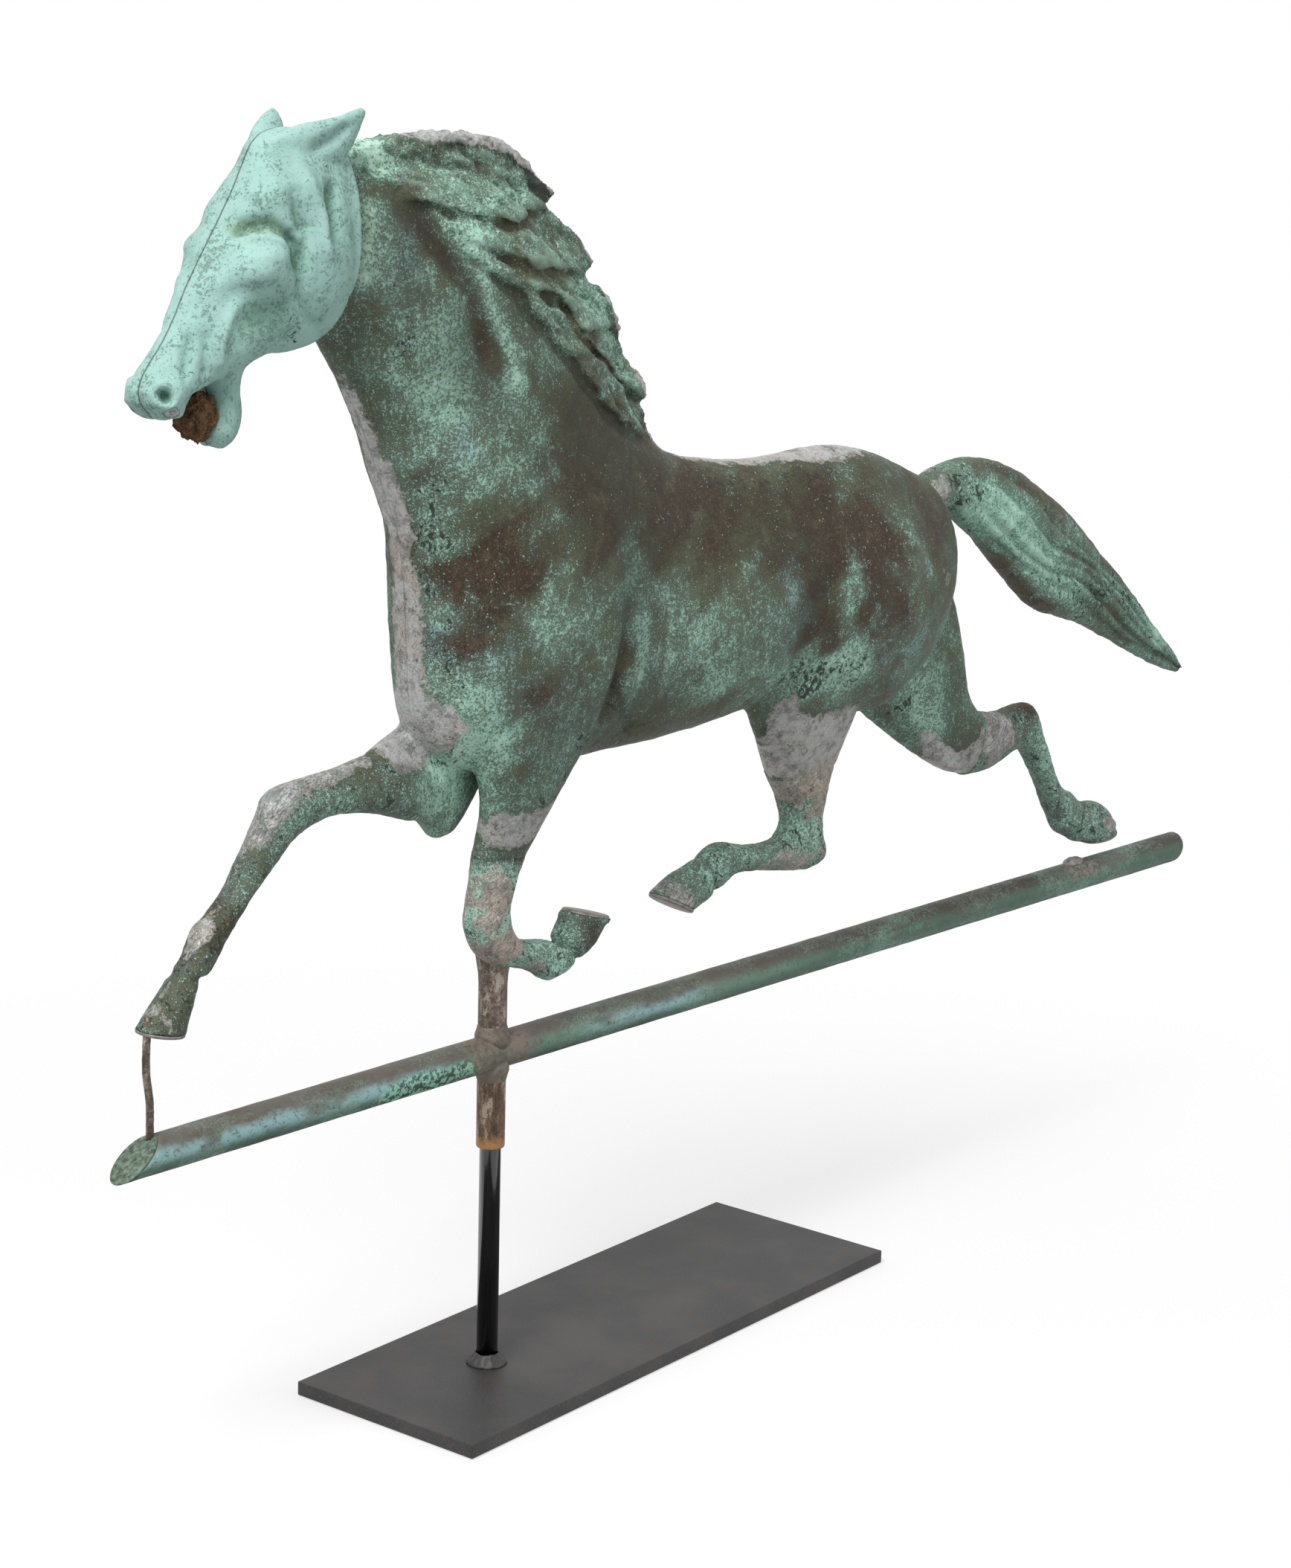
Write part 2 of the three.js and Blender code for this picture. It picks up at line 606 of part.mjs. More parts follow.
// Lower legs, each in two halves, and the flat soles that close the hooves
function soleSolid(form, gap, thickness) {
  const rings = loftRings(form, 0, 0, 0);
  const last = rings[rings.length - 1];
  const heel = last[form.around / 2];
  const along = last[0].clone().sub(heel);
  const outward = new THREE.Vector3(along.z, 0, -along.x).normalize();
  const before = rings[rings.length - 3];
  const inside = before[0].clone().add(before[form.around / 2]).multiplyScalar(1 / 2);
  if (outward.dot(heel.clone().sub(inside)) < 0) outward.negate();
  const shifted = (distance) => last.map((point) => point.clone().addScaledVector(outward, distance));
  return solidOf(closedSkin([shifted(gap), shifted(gap + thickness)]));
}
Object.entries(lowerLegs).forEach(([leg, form]) => {
  const name = leg.replace(/[A-Z]/, (letter) => `_${letter.toLowerCase()}`);
  const shell = loft(form, 0, -seatGap, 0)
    .subtract(loft(form, sheet, overrun, overrun))
    .subtract(mastGrown);
  addHalves(`${name}_leg`, shell, form.offsets[0], verdigris);
  addPiece(vane, `${name}_sole`, geometryOf(soleSolid(form, seatGap, soleThickness)), solderGrey);
});

// Cross bar with sloping ends, its two end caps, and the solder where the mast passes through
const barRadius = barDiameter / 2;
function barRing(reach, bevel, radius) {
  const ring = [];
  const around = 24;
  for (let k = 0; k < around; k += 1) {
    const angle = (2 * Math.PI * k) / around;
    const rise = radius * Math.cos(angle);
    ring.push(new THREE.Vector3(reach + bevel * rise, radius * Math.sin(angle), barHeight + rise));
  }
  return ring;
}
function barSolid(radius, front, rear) {
  return solidOf(closedSkin([barRing(front, frontBevel, radius), barRing(rear, rearBevel, radius)]));
}
function barCap(front, bevel) {
  const faces = [front, front + capThickness].map((reach) => barRing(reach, bevel, barRadius));
  return closedSkin(faces);
}
const capDepth = seatGap + capThickness;
const barGrown = barSolid(barRadius + seatGap, -barFrontReach, barRearReach);
const barTube = barSolid(barRadius, -barFrontReach + capDepth, barRearReach - capDepth)
  .subtract(barSolid(barBore / 2, -barFrontReach - overrun, barRearReach + overrun))
  .subtract(mastGrown);
addPiece(vane, "cross_bar", geometryOf(barTube), brownIron);
addPiece(vane, "bar_front_cap", barCap(-barFrontReach, frontBevel), brownIron);
addPiece(vane, "bar_rear_cap", barCap(barRearReach - capThickness, rearBevel), brownIron);
[["upper", 1], ["lower", -1]].forEach(([place, way]) => {
  const foot = barHeight + (way * barRadius) / 2;
  const brim = barHeight + way * (barRadius + seatGap);
  const lip = brim + way * solderHeight;
  const profile = [
    [mastRadius / 2, foot],
    [mastRadius + solderWidth, foot],
    [mastRadius + solderWidth, brim + (way * solderHeight) / 4],
    [mastRadius + solderWidth / 3, lip - (way * solderHeight) / 3],
    [mastRadius + sheet / 2, lip],
    [mastRadius / 2, lip],
    [mastRadius / 2, foot],
  ];
  const turned = solidOf(lathe(way > 0 ? profile : profile.reverse()));
  const fillet = turned.subtract(barGrown).subtract(mastGrown);
  addPiece(vane, `crossing_solder_${place}`, geometryOf(fillet), solderGrey);
});

// Front strut from the bar to the raised hoof, and the two stubs of the broken rear strut
const frontSole = soleSolid(lowerLegs.farFore, 0, soleThickness + 2 * seatGap);
const soleRow = farForeLowerShares[farForeLowerShares.length - 1];
const strutPath = new THREE.CatmullRomCurve3([
  new THREE.Vector3(placeX(strutFootShare), 0, barTop - overrun / 2),
  new THREE.Vector3(placeX(strutFootShare), 0, barTop + strutBend / 2),
  new THREE.Vector3(placeX(strutBendShare), legOffset / 2, barTop + strutBend),
  new THREE.Vector3(placeX(strutHeadShare), legOffset, placeZ(soleRow[1])),
]);
const strutSection = new THREE.Shape();
strutSection.absellipse(0, 0, strutDiameter / 2, strutDiameter / 2, 0, 2 * Math.PI);
const strutWire = new THREE.ExtrudeGeometry(strutSection, {
  extrudePath: strutPath, steps: 10, curveSegments: 4,
});
const strut = solidOf(strutWire)
  .subtract(frontSole)
  .subtract(loft(lowerLegs.farFore, -seatGap))
  .subtract(barGrown);
addPiece(vane, "front_strut", geometryOf(strut), brownIron);
const stub = disc(stubDiameter / 2, barTop - stubHeight, barTop + stubHeight);
stub.translate(placeX(stubShare), 0, 0);
addPiece(vane, "rear_strut_stub", geometryOf(solidOf(stub).subtract(barGrown)), solderGrey);

// Stand
const rodRadius = rodDiameter / 2;
const rodTop = mastTop - plugThickness - tipClearance;
addPiece(stand, "stand_rod", lathe([
  [0, plateThickness],
  [rodRadius, plateThickness],
  [rodRadius, rodTop - rodTipLength],
  [rodTipRadius, rodTop],
  [0, rodTop],
]), blackRod);
const weldBore = rodRadius + seatGap;
const weldTop = plateThickness + weldHeight;
addPiece(stand, "rod_weld", lathe([
  [weldBore, plateThickness],
  [weldBore + weldWidth, plateThickness],
  [weldBore + weldWidth / 2, plateThickness + weldHeight / 3],
  [weldBore + weldWidth / 6, weldTop],
  [weldBore, weldTop],
  [weldBore, plateThickness],
]), charcoal);
const plateRearReach = plateLength - plateFrontReach;
const plateFarReach = plateWidth - plateNearReach;
const plateShape = new THREE.Shape([
  new THREE.Vector2(-plateFrontReach, -plateNearReach),
  new THREE.Vector2(plateRearReach, -plateNearReach),
  new THREE.Vector2(plateRearReach, plateFarReach),
  new THREE.Vector2(-plateFrontReach, plateFarReach),
]);
const plate = new THREE.ExtrudeGeometry(plateShape, {
  depth: plateThickness - 2 * plateEdge, bevelThickness: plateEdge, bevelSize: plateEdge,
  bevelOffset: -plateEdge, bevelSegments: 1,
});
plate.translate(0, 0, plateEdge);
plate.rotateZ(plateTurn);
addPiece(stand, "base_plate", plate, charcoal);

export default model;
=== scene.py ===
import math
from collections import namedtuple

import bmesh
import bpy
import numpy as np
from mathutils import Matrix, Vector, noise


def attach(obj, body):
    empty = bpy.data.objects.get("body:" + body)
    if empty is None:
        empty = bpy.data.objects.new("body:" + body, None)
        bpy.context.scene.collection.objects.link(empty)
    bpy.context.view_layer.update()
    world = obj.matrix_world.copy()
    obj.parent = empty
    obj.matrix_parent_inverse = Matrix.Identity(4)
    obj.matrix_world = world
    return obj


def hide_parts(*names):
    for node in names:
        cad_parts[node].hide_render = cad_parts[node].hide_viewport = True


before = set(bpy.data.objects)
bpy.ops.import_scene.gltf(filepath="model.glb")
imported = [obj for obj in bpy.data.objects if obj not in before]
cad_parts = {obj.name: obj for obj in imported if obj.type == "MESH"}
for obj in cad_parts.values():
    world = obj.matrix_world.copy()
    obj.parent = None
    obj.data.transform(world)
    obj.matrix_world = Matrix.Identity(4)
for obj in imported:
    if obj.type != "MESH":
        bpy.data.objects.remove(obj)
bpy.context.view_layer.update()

MM = 0.001
DETAIL = 1
FULL_TURN = 2 * math.pi
WHITE = (1, 1, 1, 1)

# camera and lamps
CAMERA_PLACE = Vector((-1.021848, -0.987212, 0.606841))
CAMERA_YAW = -0.84763
CAMERA_PITCH = 0.23098
CAMERA_ROLL = -0.026752
SENSOR_WIDTH = 36
LENS = 78.19


def set_camera():
    cos_p = math.cos(CAMERA_PITCH)
    ahead = Vector((-math.sin(CAMERA_YAW) * cos_p, math.cos(CAMERA_YAW) * cos_p, -math.sin(CAMERA_PITCH)))
    across = Vector((math.cos(CAMERA_YAW), math.sin(CAMERA_YAW), 0))
    down = ahead.cross(across)
    cos_r, sin_r = math.cos(CAMERA_ROLL), math.sin(CAMERA_ROLL)
    right = cos_r * across + sin_r * down
    low = -sin_r * across + cos_r * down
    data = bpy.data.cameras.new("studio_camera")
    data.sensor_width = SENSOR_WIDTH
    data.lens = LENS
    data.clip_start = 0.05
    data.clip_end = 30
    camera = bpy.data.objects.new("studio_camera", data)
    turn = Matrix((right, -low, -ahead)).transposed()
    camera.matrix_world = Matrix.Translation(CAMERA_PLACE) @ turn.to_4x4()
    bpy.context.collection.objects.link(camera)
    bpy.context.scene.camera = camera


def area_light(name, place, target, size, power):
    data = bpy.data.lights.new(name, "AREA")
    data.shape = "DISK"
    data.size = size
    data.energy = power
    lamp = bpy.data.objects.new(name, data)
    lamp.location = place
    lamp.rotation_euler = (Vector(target) - Vector(place)).to_track_quat("-Z", "Y").to_euler()
    bpy.context.collection.objects.link(lamp)


# shader helpers
def linear(code):
    """A hex colour as the linear RGBA that a socket takes."""
    parts = [int(code[i:i + 2], 16) / 255 for i in (0, 2, 4)]
    return tuple(p / 12.92 if p <= 0.04045 else ((p + 0.055) / 1.055) ** 2.4 for p in parts) + (1,)


class Wire:
    """A shader socket that can be used in a sum."""

    def __init__(self, kit, socket):
        self.kit = kit
        self.socket = socket

    def _math(self, operation, *values):
        return self.kit.add("ShaderNodeMath", {"operation": operation}, dict(enumerate(values)))

    def __add__(self, other):
        return self._math("ADD", self, other)

    def __sub__(self, other):
        return self._math("SUBTRACT", self, other)

    def __rsub__(self, other):
        return self._math("SUBTRACT", other, self)

    def __mul__(self, other):
        return self._math("MULTIPLY", self, other)

    def __truediv__(self, other):
        return self._math("DIVIDE", self, other)

    def __neg__(self):
        return 0.0 - self

    __radd__ = __add__
    __rmul__ = __mul__

    def clamp(self):
        return self.kit.add("ShaderNodeMath", {"operation": "ADD", "use_clamp": True}, {0: self, 1: 0.0})

    def size(self):
        return self._math("ABSOLUTE", self)

    def root(self):
        return self._math("SQRT", self)

    def step(self, low, high):
        """0 below low, 1 above high, and smooth between them."""
        return self.kit.add("ShaderNodeMapRange", {"interpolation_type": "SMOOTHSTEP"},
                            {0: self, 1: low, 2: high})

    def other(self, name):
        """Another output of this wire's node."""
        return Wire(self.kit, self.socket.node.outputs[name])


class Kit:
    """The nodes of one material or world."""

    def __init__(self, owner):
        owner.use_nodes = True
        self.tree = owner.node_tree
        self.tree.nodes.clear()

    def add(self, kind, settings=None, sockets=None, out=0):
        """A new node: its settings are set first, then its sockets get their values or links."""
        node = self.tree.nodes.new(kind)
        for key, value in (settings or {}).items():
            setattr(node, key, value)
        for key, value in (sockets or {}).items():
            if isinstance(value, Wire):
                self.tree.links.new(value.socket, node.inputs[key])
            elif value is not None:
                node.inputs[key].default_value = value
        return Wire(self, node.outputs[out]) if node.outputs else None

    def mix(self, share, low, high):
        """Blends two colours, each a wire, a hex code or an RGBA."""
        low, high = (linear(c) if isinstance(c, str) else c for c in (low, high))
        return self.add("ShaderNodeMix", {"data_type": "RGBA"}, {0: share, 6: low, 7: high}, out=2)

    def seen(self):
        """1 where the camera sees a surface, directly or by its gloss or through glass, and 0 elsewhere."""
        camera = self.add("ShaderNodeLightPath", out="Is Camera Ray")
        return (camera + camera.other("Is Glossy Ray") + camera.other("Is Transmission Ray")).clamp()


class Finish(Kit):
    """One material, whose patterns read Object coordinates in millimetres."""

    def __init__(self, name):
        self.material = bpy.data.materials.new(name)
        super().__init__(self.material)
        place = self.add("ShaderNodeTexCoord", out="Object")
        self.place = self.add("ShaderNodeVectorMath", {"operation": "SCALE"}, {0: place, "Scale": 1 / MM})
        split = self.add("ShaderNodeSeparateXYZ", {}, {0: self.place})
        self.x, self.y, self.z = (split.other(axis) for axis in "XYZ")

    def stretched(self, sx, sy, sz, turn=0.0):
        """Millimetre coordinates, turned about Y and then scaled along each axis."""
        turned = self.add("ShaderNodeMapping", {}, {"Vector": self.place, "Rotation": (0, turn, 0)})
        return self.add("ShaderNodeMapping", {}, {"Vector": turned, "Scale": (sx, sy, sz)})

    def cloud(self, grain, detail=4, rough=0.55, warp=0.0, where=None):
        """Noise whose blotches are about grain millimetres across."""
        return self.add("ShaderNodeTexNoise", {}, {
            "Vector": where or self.place, "Scale": 1 / grain, "Detail": detail, "Roughness": rough,
            "Distortion": warp}, out="Fac")

    def dots(self, grain, radius, soft, low, high):
        """Round specks, of which a random share, set by low and high, is kept."""
        cells = {"Vector": self.place, "Scale": 1 / grain}
        near = self.add("ShaderNodeTexVoronoi", {}, cells, out="Distance")
        return (radius - near).step(0.0, soft) * near.other("Color").step(low, high)

    def painted(self, name):
        """The four channels of a painted attribute."""
        colour = self.add("ShaderNodeAttribute", {"attribute_name": name}, out="Color")
        split = self.add("ShaderNodeSeparateColor", {}, {0: colour})
        return [split.other(name) for name in ("Red", "Green", "Blue")] + [colour.other("Alpha")]

    def bump(self, height, distance, strength=1.0, below=None):
        return self.add("ShaderNodeBump", {}, {
            "Height": height, "Strength": strength, "Distance": distance * MM, "Normal": below})

    def surface(self, colour, roughness, metallic=0.0, normal=None, specular=0.5, coat=None):
        return self.add("ShaderNodeBsdfPrincipled", {}, {
            "Base Color": colour, "Roughness": roughness, "Metallic": metallic, "Normal": normal,
            "Specular IOR Level": specular, "Coat Weight": coat})

    def close(self, surface):
        self.add("ShaderNodeOutputMaterial", {}, {"Surface": surface})
        return self.material


# the horse's stations
# Side-view points in millimetres: upper edge x and z, lower edge x and z, and the half width
TRUNK = [
    (-105, 529, -116, 484, 12), (-93, 533, -104, 467, 14.5), (-66, 536, -89.5, 446, 18),
    (-36, 534, -77.5, 424, 22), (-8, 523, -68, 403, 26), (16, 503, -59.5, 383, 29), (36, 480, -56, 360, 31),
    (54, 455, -54.5, 336, 33), (72, 429, -52.5, 312, 34), (90, 412, -45, 295, 34.5),
    (108, 404.5, -18, 281, 35),
    (124, 401.5, 12, 275.5, 35), (140, 399.5, 50, 277, 35.5), (158, 398, 90, 277.5, 36),
    (180, 397.8, 130, 280, 36), (202, 398.8, 168, 284, 36), (224, 398.8, 203, 276, 36),
    (244, 395, 232, 270, 36), (262, 389.5, 250, 268, 34.5), (276, 383.5, 270, 276, 31),
    (288, 378.5, 287, 287, 25.5), (298, 370.5, 300, 302, 19), (305, 362.5, 307, 318, 12.5),
    (309, 355, 311, 334, 6.5)]
NEAR_FORE_UPPER = [
    (-30, 318, 54, 322, 12), (-26, 296, 48, 300, 12), (-20, 277, 37, 281, 11.5), (-16, 264, 27, 266, 11),
    (-15.5, 251, 17.5, 251, 10.3), (-15.5, 241, 11, 240, 9.7)]
NEAR_FORE_LOWER = [
    (-15.5, 241, 11, 240, 9.7), (-17, 230, 6, 230, 9), (-18.5, 220, 3, 220, 8.7), (-18.5, 211, 3, 212, 9),
    (-16, 202.5, 4.5, 207, 9.3), (-8, 194, 8, 203, 9), (4, 190, 12, 200.5, 8), (14, 187, 17, 199.5, 7),
    (22, 183, 24.5, 198.2, 7), (29, 180.2, 31, 197, 7.5), (37, 180.5, 34.5, 196, 7.5),
    (46, 184.5, 37, 199, 8), (56, 190, 39.5, 203.5, 8.8), (65.5, 200.5, 42.5, 207, 9.5)]
FAR_FORE_UPPER = [
    (-6, 318, 15, 282, 11), (-28, 306, -1, 267.5, 11.5), (-46, 301, -19.5, 251.5, 11.5),
    (-59, 298.5, -35, 256.5, 11), (-71, 294.5, -52, 263.5, 10.5)]
FAR_FORE_LOWER = [
    (-71, 294.5, -52, 263.5, 10.5), (-87, 291.5, -73, 269.8, 10), (-104, 290, -94, 272.5, 9.5),
    (-119, 288, -111.5, 268.5, 9.2), (-128.5, 281, -121.5, 262, 8.8), (-137, 268, -131, 253.5, 8),
    (-147, 252.5, -141.5, 244, 7.4), (-158, 241.5, -150.5, 234, 7.2), (-167, 233, -156.5, 226, 7.6),
    (-171.5, 225.5, -160.5, 220.5, 7.4), (-178, 219, -166.5, 216, 7.4), (-186, 210.5, -170.5, 207, 8.3),
    (-194, 201.5, -174, 197.5, 9.3)]
NEAR_HIND_UPPER = [
    (141, 310, 236, 316, 12), (148, 296, 236, 296, 12), (158.5, 277, 234.5, 278, 12),
    (170.5, 261, 228.5, 262, 12), (181.5, 246, 222, 247.5, 12)]
NEAR_HIND_LOWER = [
    (181.5, 246, 222, 247.5, 12), (189, 235, 218, 236.5, 11), (192, 225, 215.5, 225, 10),
    (190.5, 218.5, 215.5, 214, 9.7), (184.5, 216, 217.5, 202.5, 9.5), (176.5, 215.5, 207, 198.2, 9),
    (166.5, 216.5, 187, 200.8, 8.2), (154.5, 219, 167, 204.3, 8), (143.5, 220.3, 152.5, 204.8, 8),
    (134.5, 218.5, 145, 201, 8), (127.5, 215.5, 139, 199.5, 8), (119, 213, 134.5, 196.8, 8.5),
    (109.5, 209.8, 127.5, 194.6, 9), (101, 205, 123.5, 193.4, 9.3)]
FAR_HIND_UPPER = [
    (252, 330, 240, 282, 12), (290, 344, 262, 268, 12), (324, 330, 284, 252, 12), (336.5, 297, 306, 238, 12),
    (340, 268, 328, 226, 11.7), (349.5, 253.5, 344, 221.5, 11)]
FAR_HIND_LOWER = [
    (349.5, 253.5, 344, 221.5, 11), (363, 250.7, 361, 222, 10.5), (375, 250.2, 375, 226, 10),
    (388, 251.8, 386.5, 228, 9.3), (397, 250, 395, 225, 8.7), (403, 240, 402, 217.5, 8),
    (409.5, 228.5, 408.5, 209.5, 7.6), (416.5, 216, 414.5, 200.5, 7.4), (425, 204.5, 420, 191.5, 7.6),
    (435, 197, 426, 182.8, 8), (444.5, 192, 432.5, 176.5, 8), (453.5, 189.5, 440, 171.5, 8),
    (464.5, 187.5, 446.5, 168.8, 8.6), (474.5, 180.5, 451, 167.8, 9), (480.5, 170.5, 456, 167.5, 9.3)]
SKULL = [
    (-96, 541.5, -100, 480, 18), (-110, 547.5, -112, 468, 21), (-126, 549.5, -126, 464, 22.5),
    (-139, 544.5, -138, 463.5, 22.5), (-148.5, 528, -147.5, 460.5, 21), (-156, 516, -154.5, 457, 19.5),
    (-165, 503, -160.5, 455, 16.5), (-173, 490, -165.5, 453.5, 14.5), (-180.5, 476.5, -171, 451.5, 13),
    (-187, 467.5, -178, 448, 12.2), (-192.5, 461, -184, 444, 12), (-196, 454.5, -188, 442, 10.3),
    (-195.5, 449, -190.5, 443.3, 6.3)]
JAW = [
    (-159, 464, -139, 470, 12), (-165, 457, -147, 461, 11), (-162, 450, -150, 453, 9.5),
    (-162.5, 441, -148.5, 443, 9), (-163.5, 435, -151, 434, 8), (-162, 430, -156, 429.5, 5)]
NEAR_EAR = [
    (-136, 545.5, -107, 526, 7), (-125, 550.5, -103.5, 533, 6), (-115, 552.5, -99.5, 541, 4.6),
    (-106.5, 554.5, -97, 549, 3.0), (-98.5, 557.6, -96, 555.5, 1.2)]
FAR_EAR = [
    (-138, 541, -116, 534, 6), (-129, 549, -113, 542, 5), (-121.5, 554, -112, 549, 3),
    (-115.5, 556.5, -112.5, 554, 1.0)]
TAIL = [
    (280, 374, 298, 352, 9), (303, 381, 311.5, 361.5, 10), (323, 384.5, 326, 351, 12),
    (345, 382, 344.5, 338, 13), (367, 375, 366, 321, 13.5), (391, 362.5, 390, 302.5, 13.5),
    (415, 348.5, 412, 294.8, 13), (444, 325.5, 434, 288.5, 12), (477, 301, 463, 276, 10.5),
    (501, 279.5, 490, 264, 8.5), (520, 264.5, 512, 255.3, 6.5), (532.5, 253, 528, 250.3, 3)]
CREST = [
    (-100, 536), (-92, 541.5), (-80, 543.5), (-62, 545.8), (-40, 546.5), (-18, 545.8), (-6, 541.5), (3, 538),
    (13, 529.5), (24.5, 520.5), (14.5, 515), (28, 509.5), (40, 501.5), (50, 491.5), (41.5, 486.8), (53, 480),
    (62, 470.5), (68, 461.5), (64, 458), (72, 449.5), (79, 441), (84, 432.5), (80.5, 430.5), (84, 424),
    (86.5, 416.5), (95, 409), (70, 412), (40, 450), (20, 480), (-10, 510), (-50, 525), (-85, 526)]
LOCKS = [
    ((-86, 534), (-60, 541), (-20, 542.5), 10), ((-64, 530), (-20, 538), (22, 519), 18),
    ((-40, 524.5), (2, 521.5), (46, 492), 18), ((-14, 512), (25, 499), (63, 463), 17),
    ((10, 490), (42, 472), (79, 434), 15), ((32, 465), (56, 446), (83, 419), 12)]
LOCK_SWELL = (0.25, 0.75, 1, 0.95, 0.7, 0.08)


# mount and stand, in millimetres
BAR_LEVEL = 151.2
BAR_RADIUS = 7.95
BAR_STEPS = 240
BAR_FRONT = -200.6
BAR_LENGTH = 734.3
FRONT_SLOPE = 1.2
REAR_SLOPE = 0.3
FRONT_FACE = -202.5
REAR_FACE = 535.5
# How far in from a cap's face each of its rings lies, and the ring's radius
CAP_RINGS = ((1.6, 7.95), (0.7, 7.95), (0.2, 7.75), (0.0, 7.3))
# Turned profiles: radius and height
MAST_FOOT = 107.8
MAST_PROFILE = [
    (5.15, 107.8), (5.35, 107.8), (5.7, 107.85), (6.05, 108.1), (6.28, 108.5), (6.35, 109), (6.35, 130),
    (6.35, 165), (6.35, 182), (6.6, 187), (7.4, 192), (8.0, 196), (5.15, 196), (5.15, 150), (5.15, 107.8)]
PLUG_PROFILE = [(0, 195), (4.8, 195), (4.8, 200), (0, 200)]
ROD_PROFILE = [
    (0, 6.35), (4.7625, 6.35), (4.7625, 189.6), (4.4, 191.5), (3.4, 193.3), (1.9, 194.5), (0, 194.7)]
BEAD_PROFILE = [
    (5.0, 6.36), (9.2, 6.36), (8.9, 7.2), (8.0, 8.3), (6.9, 9.2), (6.0, 10.6), (5.5, 11.4), (5.0, 11.35)]
STUB_PLACE = 441
STUB_SEAT = 158.2
STUB_PROFILE = [
    (0, 158.2), (3.9, 158.2), (3.9, 159.4), (3.6, 160.4), (3.1, 161.2), (2.5, 161.9), (1.5, 162.3),
    (0, 162.4)]
# Here the height is counted outward from the bar's upper or lower edge
FILLET_PROFILE = [
    (6.36, -5), (7.6, -5), (7.75, 0), (7.5, 0.9), (7.1, 1.9), (6.85, 3), (6.6, 4), (6.36, 4.6)]
STRUT_PATH = [(-193.2, 0, 157.6), (-193.2, 0, 173), (-193.2, 2, 187), (-190.4, 4, 206.5)]
STRUT_RADIUS = 1.6
PLATE_SIZE = (304.8, 101.6, 6.35)
PLATE_TURN = 0.0623
ROD_FROM_END = 71.5
ROD_FROM_SIDE = 53.8


# mesh helpers
def flowing(points, count):
    """Points on an even curve through the given ones."""
    p = np.array(points, float)
    p = np.vstack([2 * p[0] - p[1], p, 2 * p[-1] - p[-2]])
    t = np.linspace(0, len(points) - 1, count + 1)
    i = np.minimum(t.astype(int), len(points) - 2)
    w = (t - i)[:, None]
    a, b, c, d = p[i], p[i + 1], p[i + 2], p[i + 3]
    return b + w * ((c - a) + w * ((2 * a - 5 * b + 4 * c - d) + w * (3 * b - 3 * c + d - a))) / 2


def angles(count):
    return np.arange(count) * FULL_TURN / count


def section(upper, lower, half, middle, around, roundness, lean=0.0, grow=0.0):
    """A ring between an upper and a lower side-view point, with the given half width."""
    rise, side = np.cos(angles(around)), np.sin(angles(around))
    centre = (upper + lower) / 2
    reach = (upper - lower) / 2
    long = max(np.linalg.norm(reach), 1e-6)
    reach = reach * (long + grow) / long
    swell = np.sign(side) * np.abs(side) ** roundness * (1 - lean * rise)
    return np.c_[centre[0] + reach[0] * rise, middle - (half + grow) * swell, centre[1] + reach[1] * rise]


def piece_from(bm, name):
    """Makes an object, which keeps the normals that cut_copy stored, if any."""
    mesh = bpy.data.meshes.new(name)
    bm.to_mesh(mesh)
    bm.free()
    kept = mesh.attributes.get("whole_normal")
    if kept:
        values = np.empty(len(mesh.vertices) * 3, np.float32)
        kept.data.foreach_get("vector", values)
        mesh.attributes.remove(kept)
        mesh.polygons.foreach_set("use_smooth", [True] * len(mesh.polygons))
        mesh.normals_split_custom_set_from_vertices(values.reshape(-1, 3).tolist())
    obj = bpy.data.objects.new(name, mesh)
    bpy.context.collection.objects.link(obj)
    return obj


def tube_mesh(name, rings):
    """Skins a row of closed rings, extruding the first from one to the next, and caps both ends."""
    bm = bmesh.new()
    start = bmesh.ops.create_circle(bm, cap_ends=True, segments=len(rings[0]), radius=MM)
    for vert, point in zip(start["verts"], rings[0]):
        vert.co = Vector(point) * MM
    edges = bm.edges[:]
    for ring in rings[1:]:
        grown = bmesh.ops.extrude_edge_only(bm, edges=edges)["geom"]
        fresh = [g for g in grown if isinstance(g, bmesh.types.BMVert)]
        edges = [g for g in grown if isinstance(g, bmesh.types.BMEdge)]
        for vert, point in zip(fresh, ring):
            vert.co = Vector(point) * MM
    bmesh.ops.holes_fill(bm, edges=[e for e in bm.edges if e.is_boundary])
    bmesh.ops.recalc_face_normals(bm, faces=bm.faces)
    return piece_from(bm, name)


def form(name, rows, middles, along, around, roundness, lean=0.0):
    """A closed tube through stations, whose middle plane is one y or runs from one y to another."""
    rows = np.array(rows, float)
    upper = flowing(rows[:, 0:2], along)
    lower = flowing(rows[:, 2:4], along)
    half = flowing(rows[:, 4:5], along)[:, 0]
    first, last = (middles, middles) if np.isscalar(middles) else middles
    middle = flowing(np.linspace(first, last, len(rows))[:, None], along)[:, 0]
    stations = zip(upper, lower, half, middle)
    return tube_mesh(name, [section(u, l, h, m, around, roundness, lean) for u, l, h, m in stations])


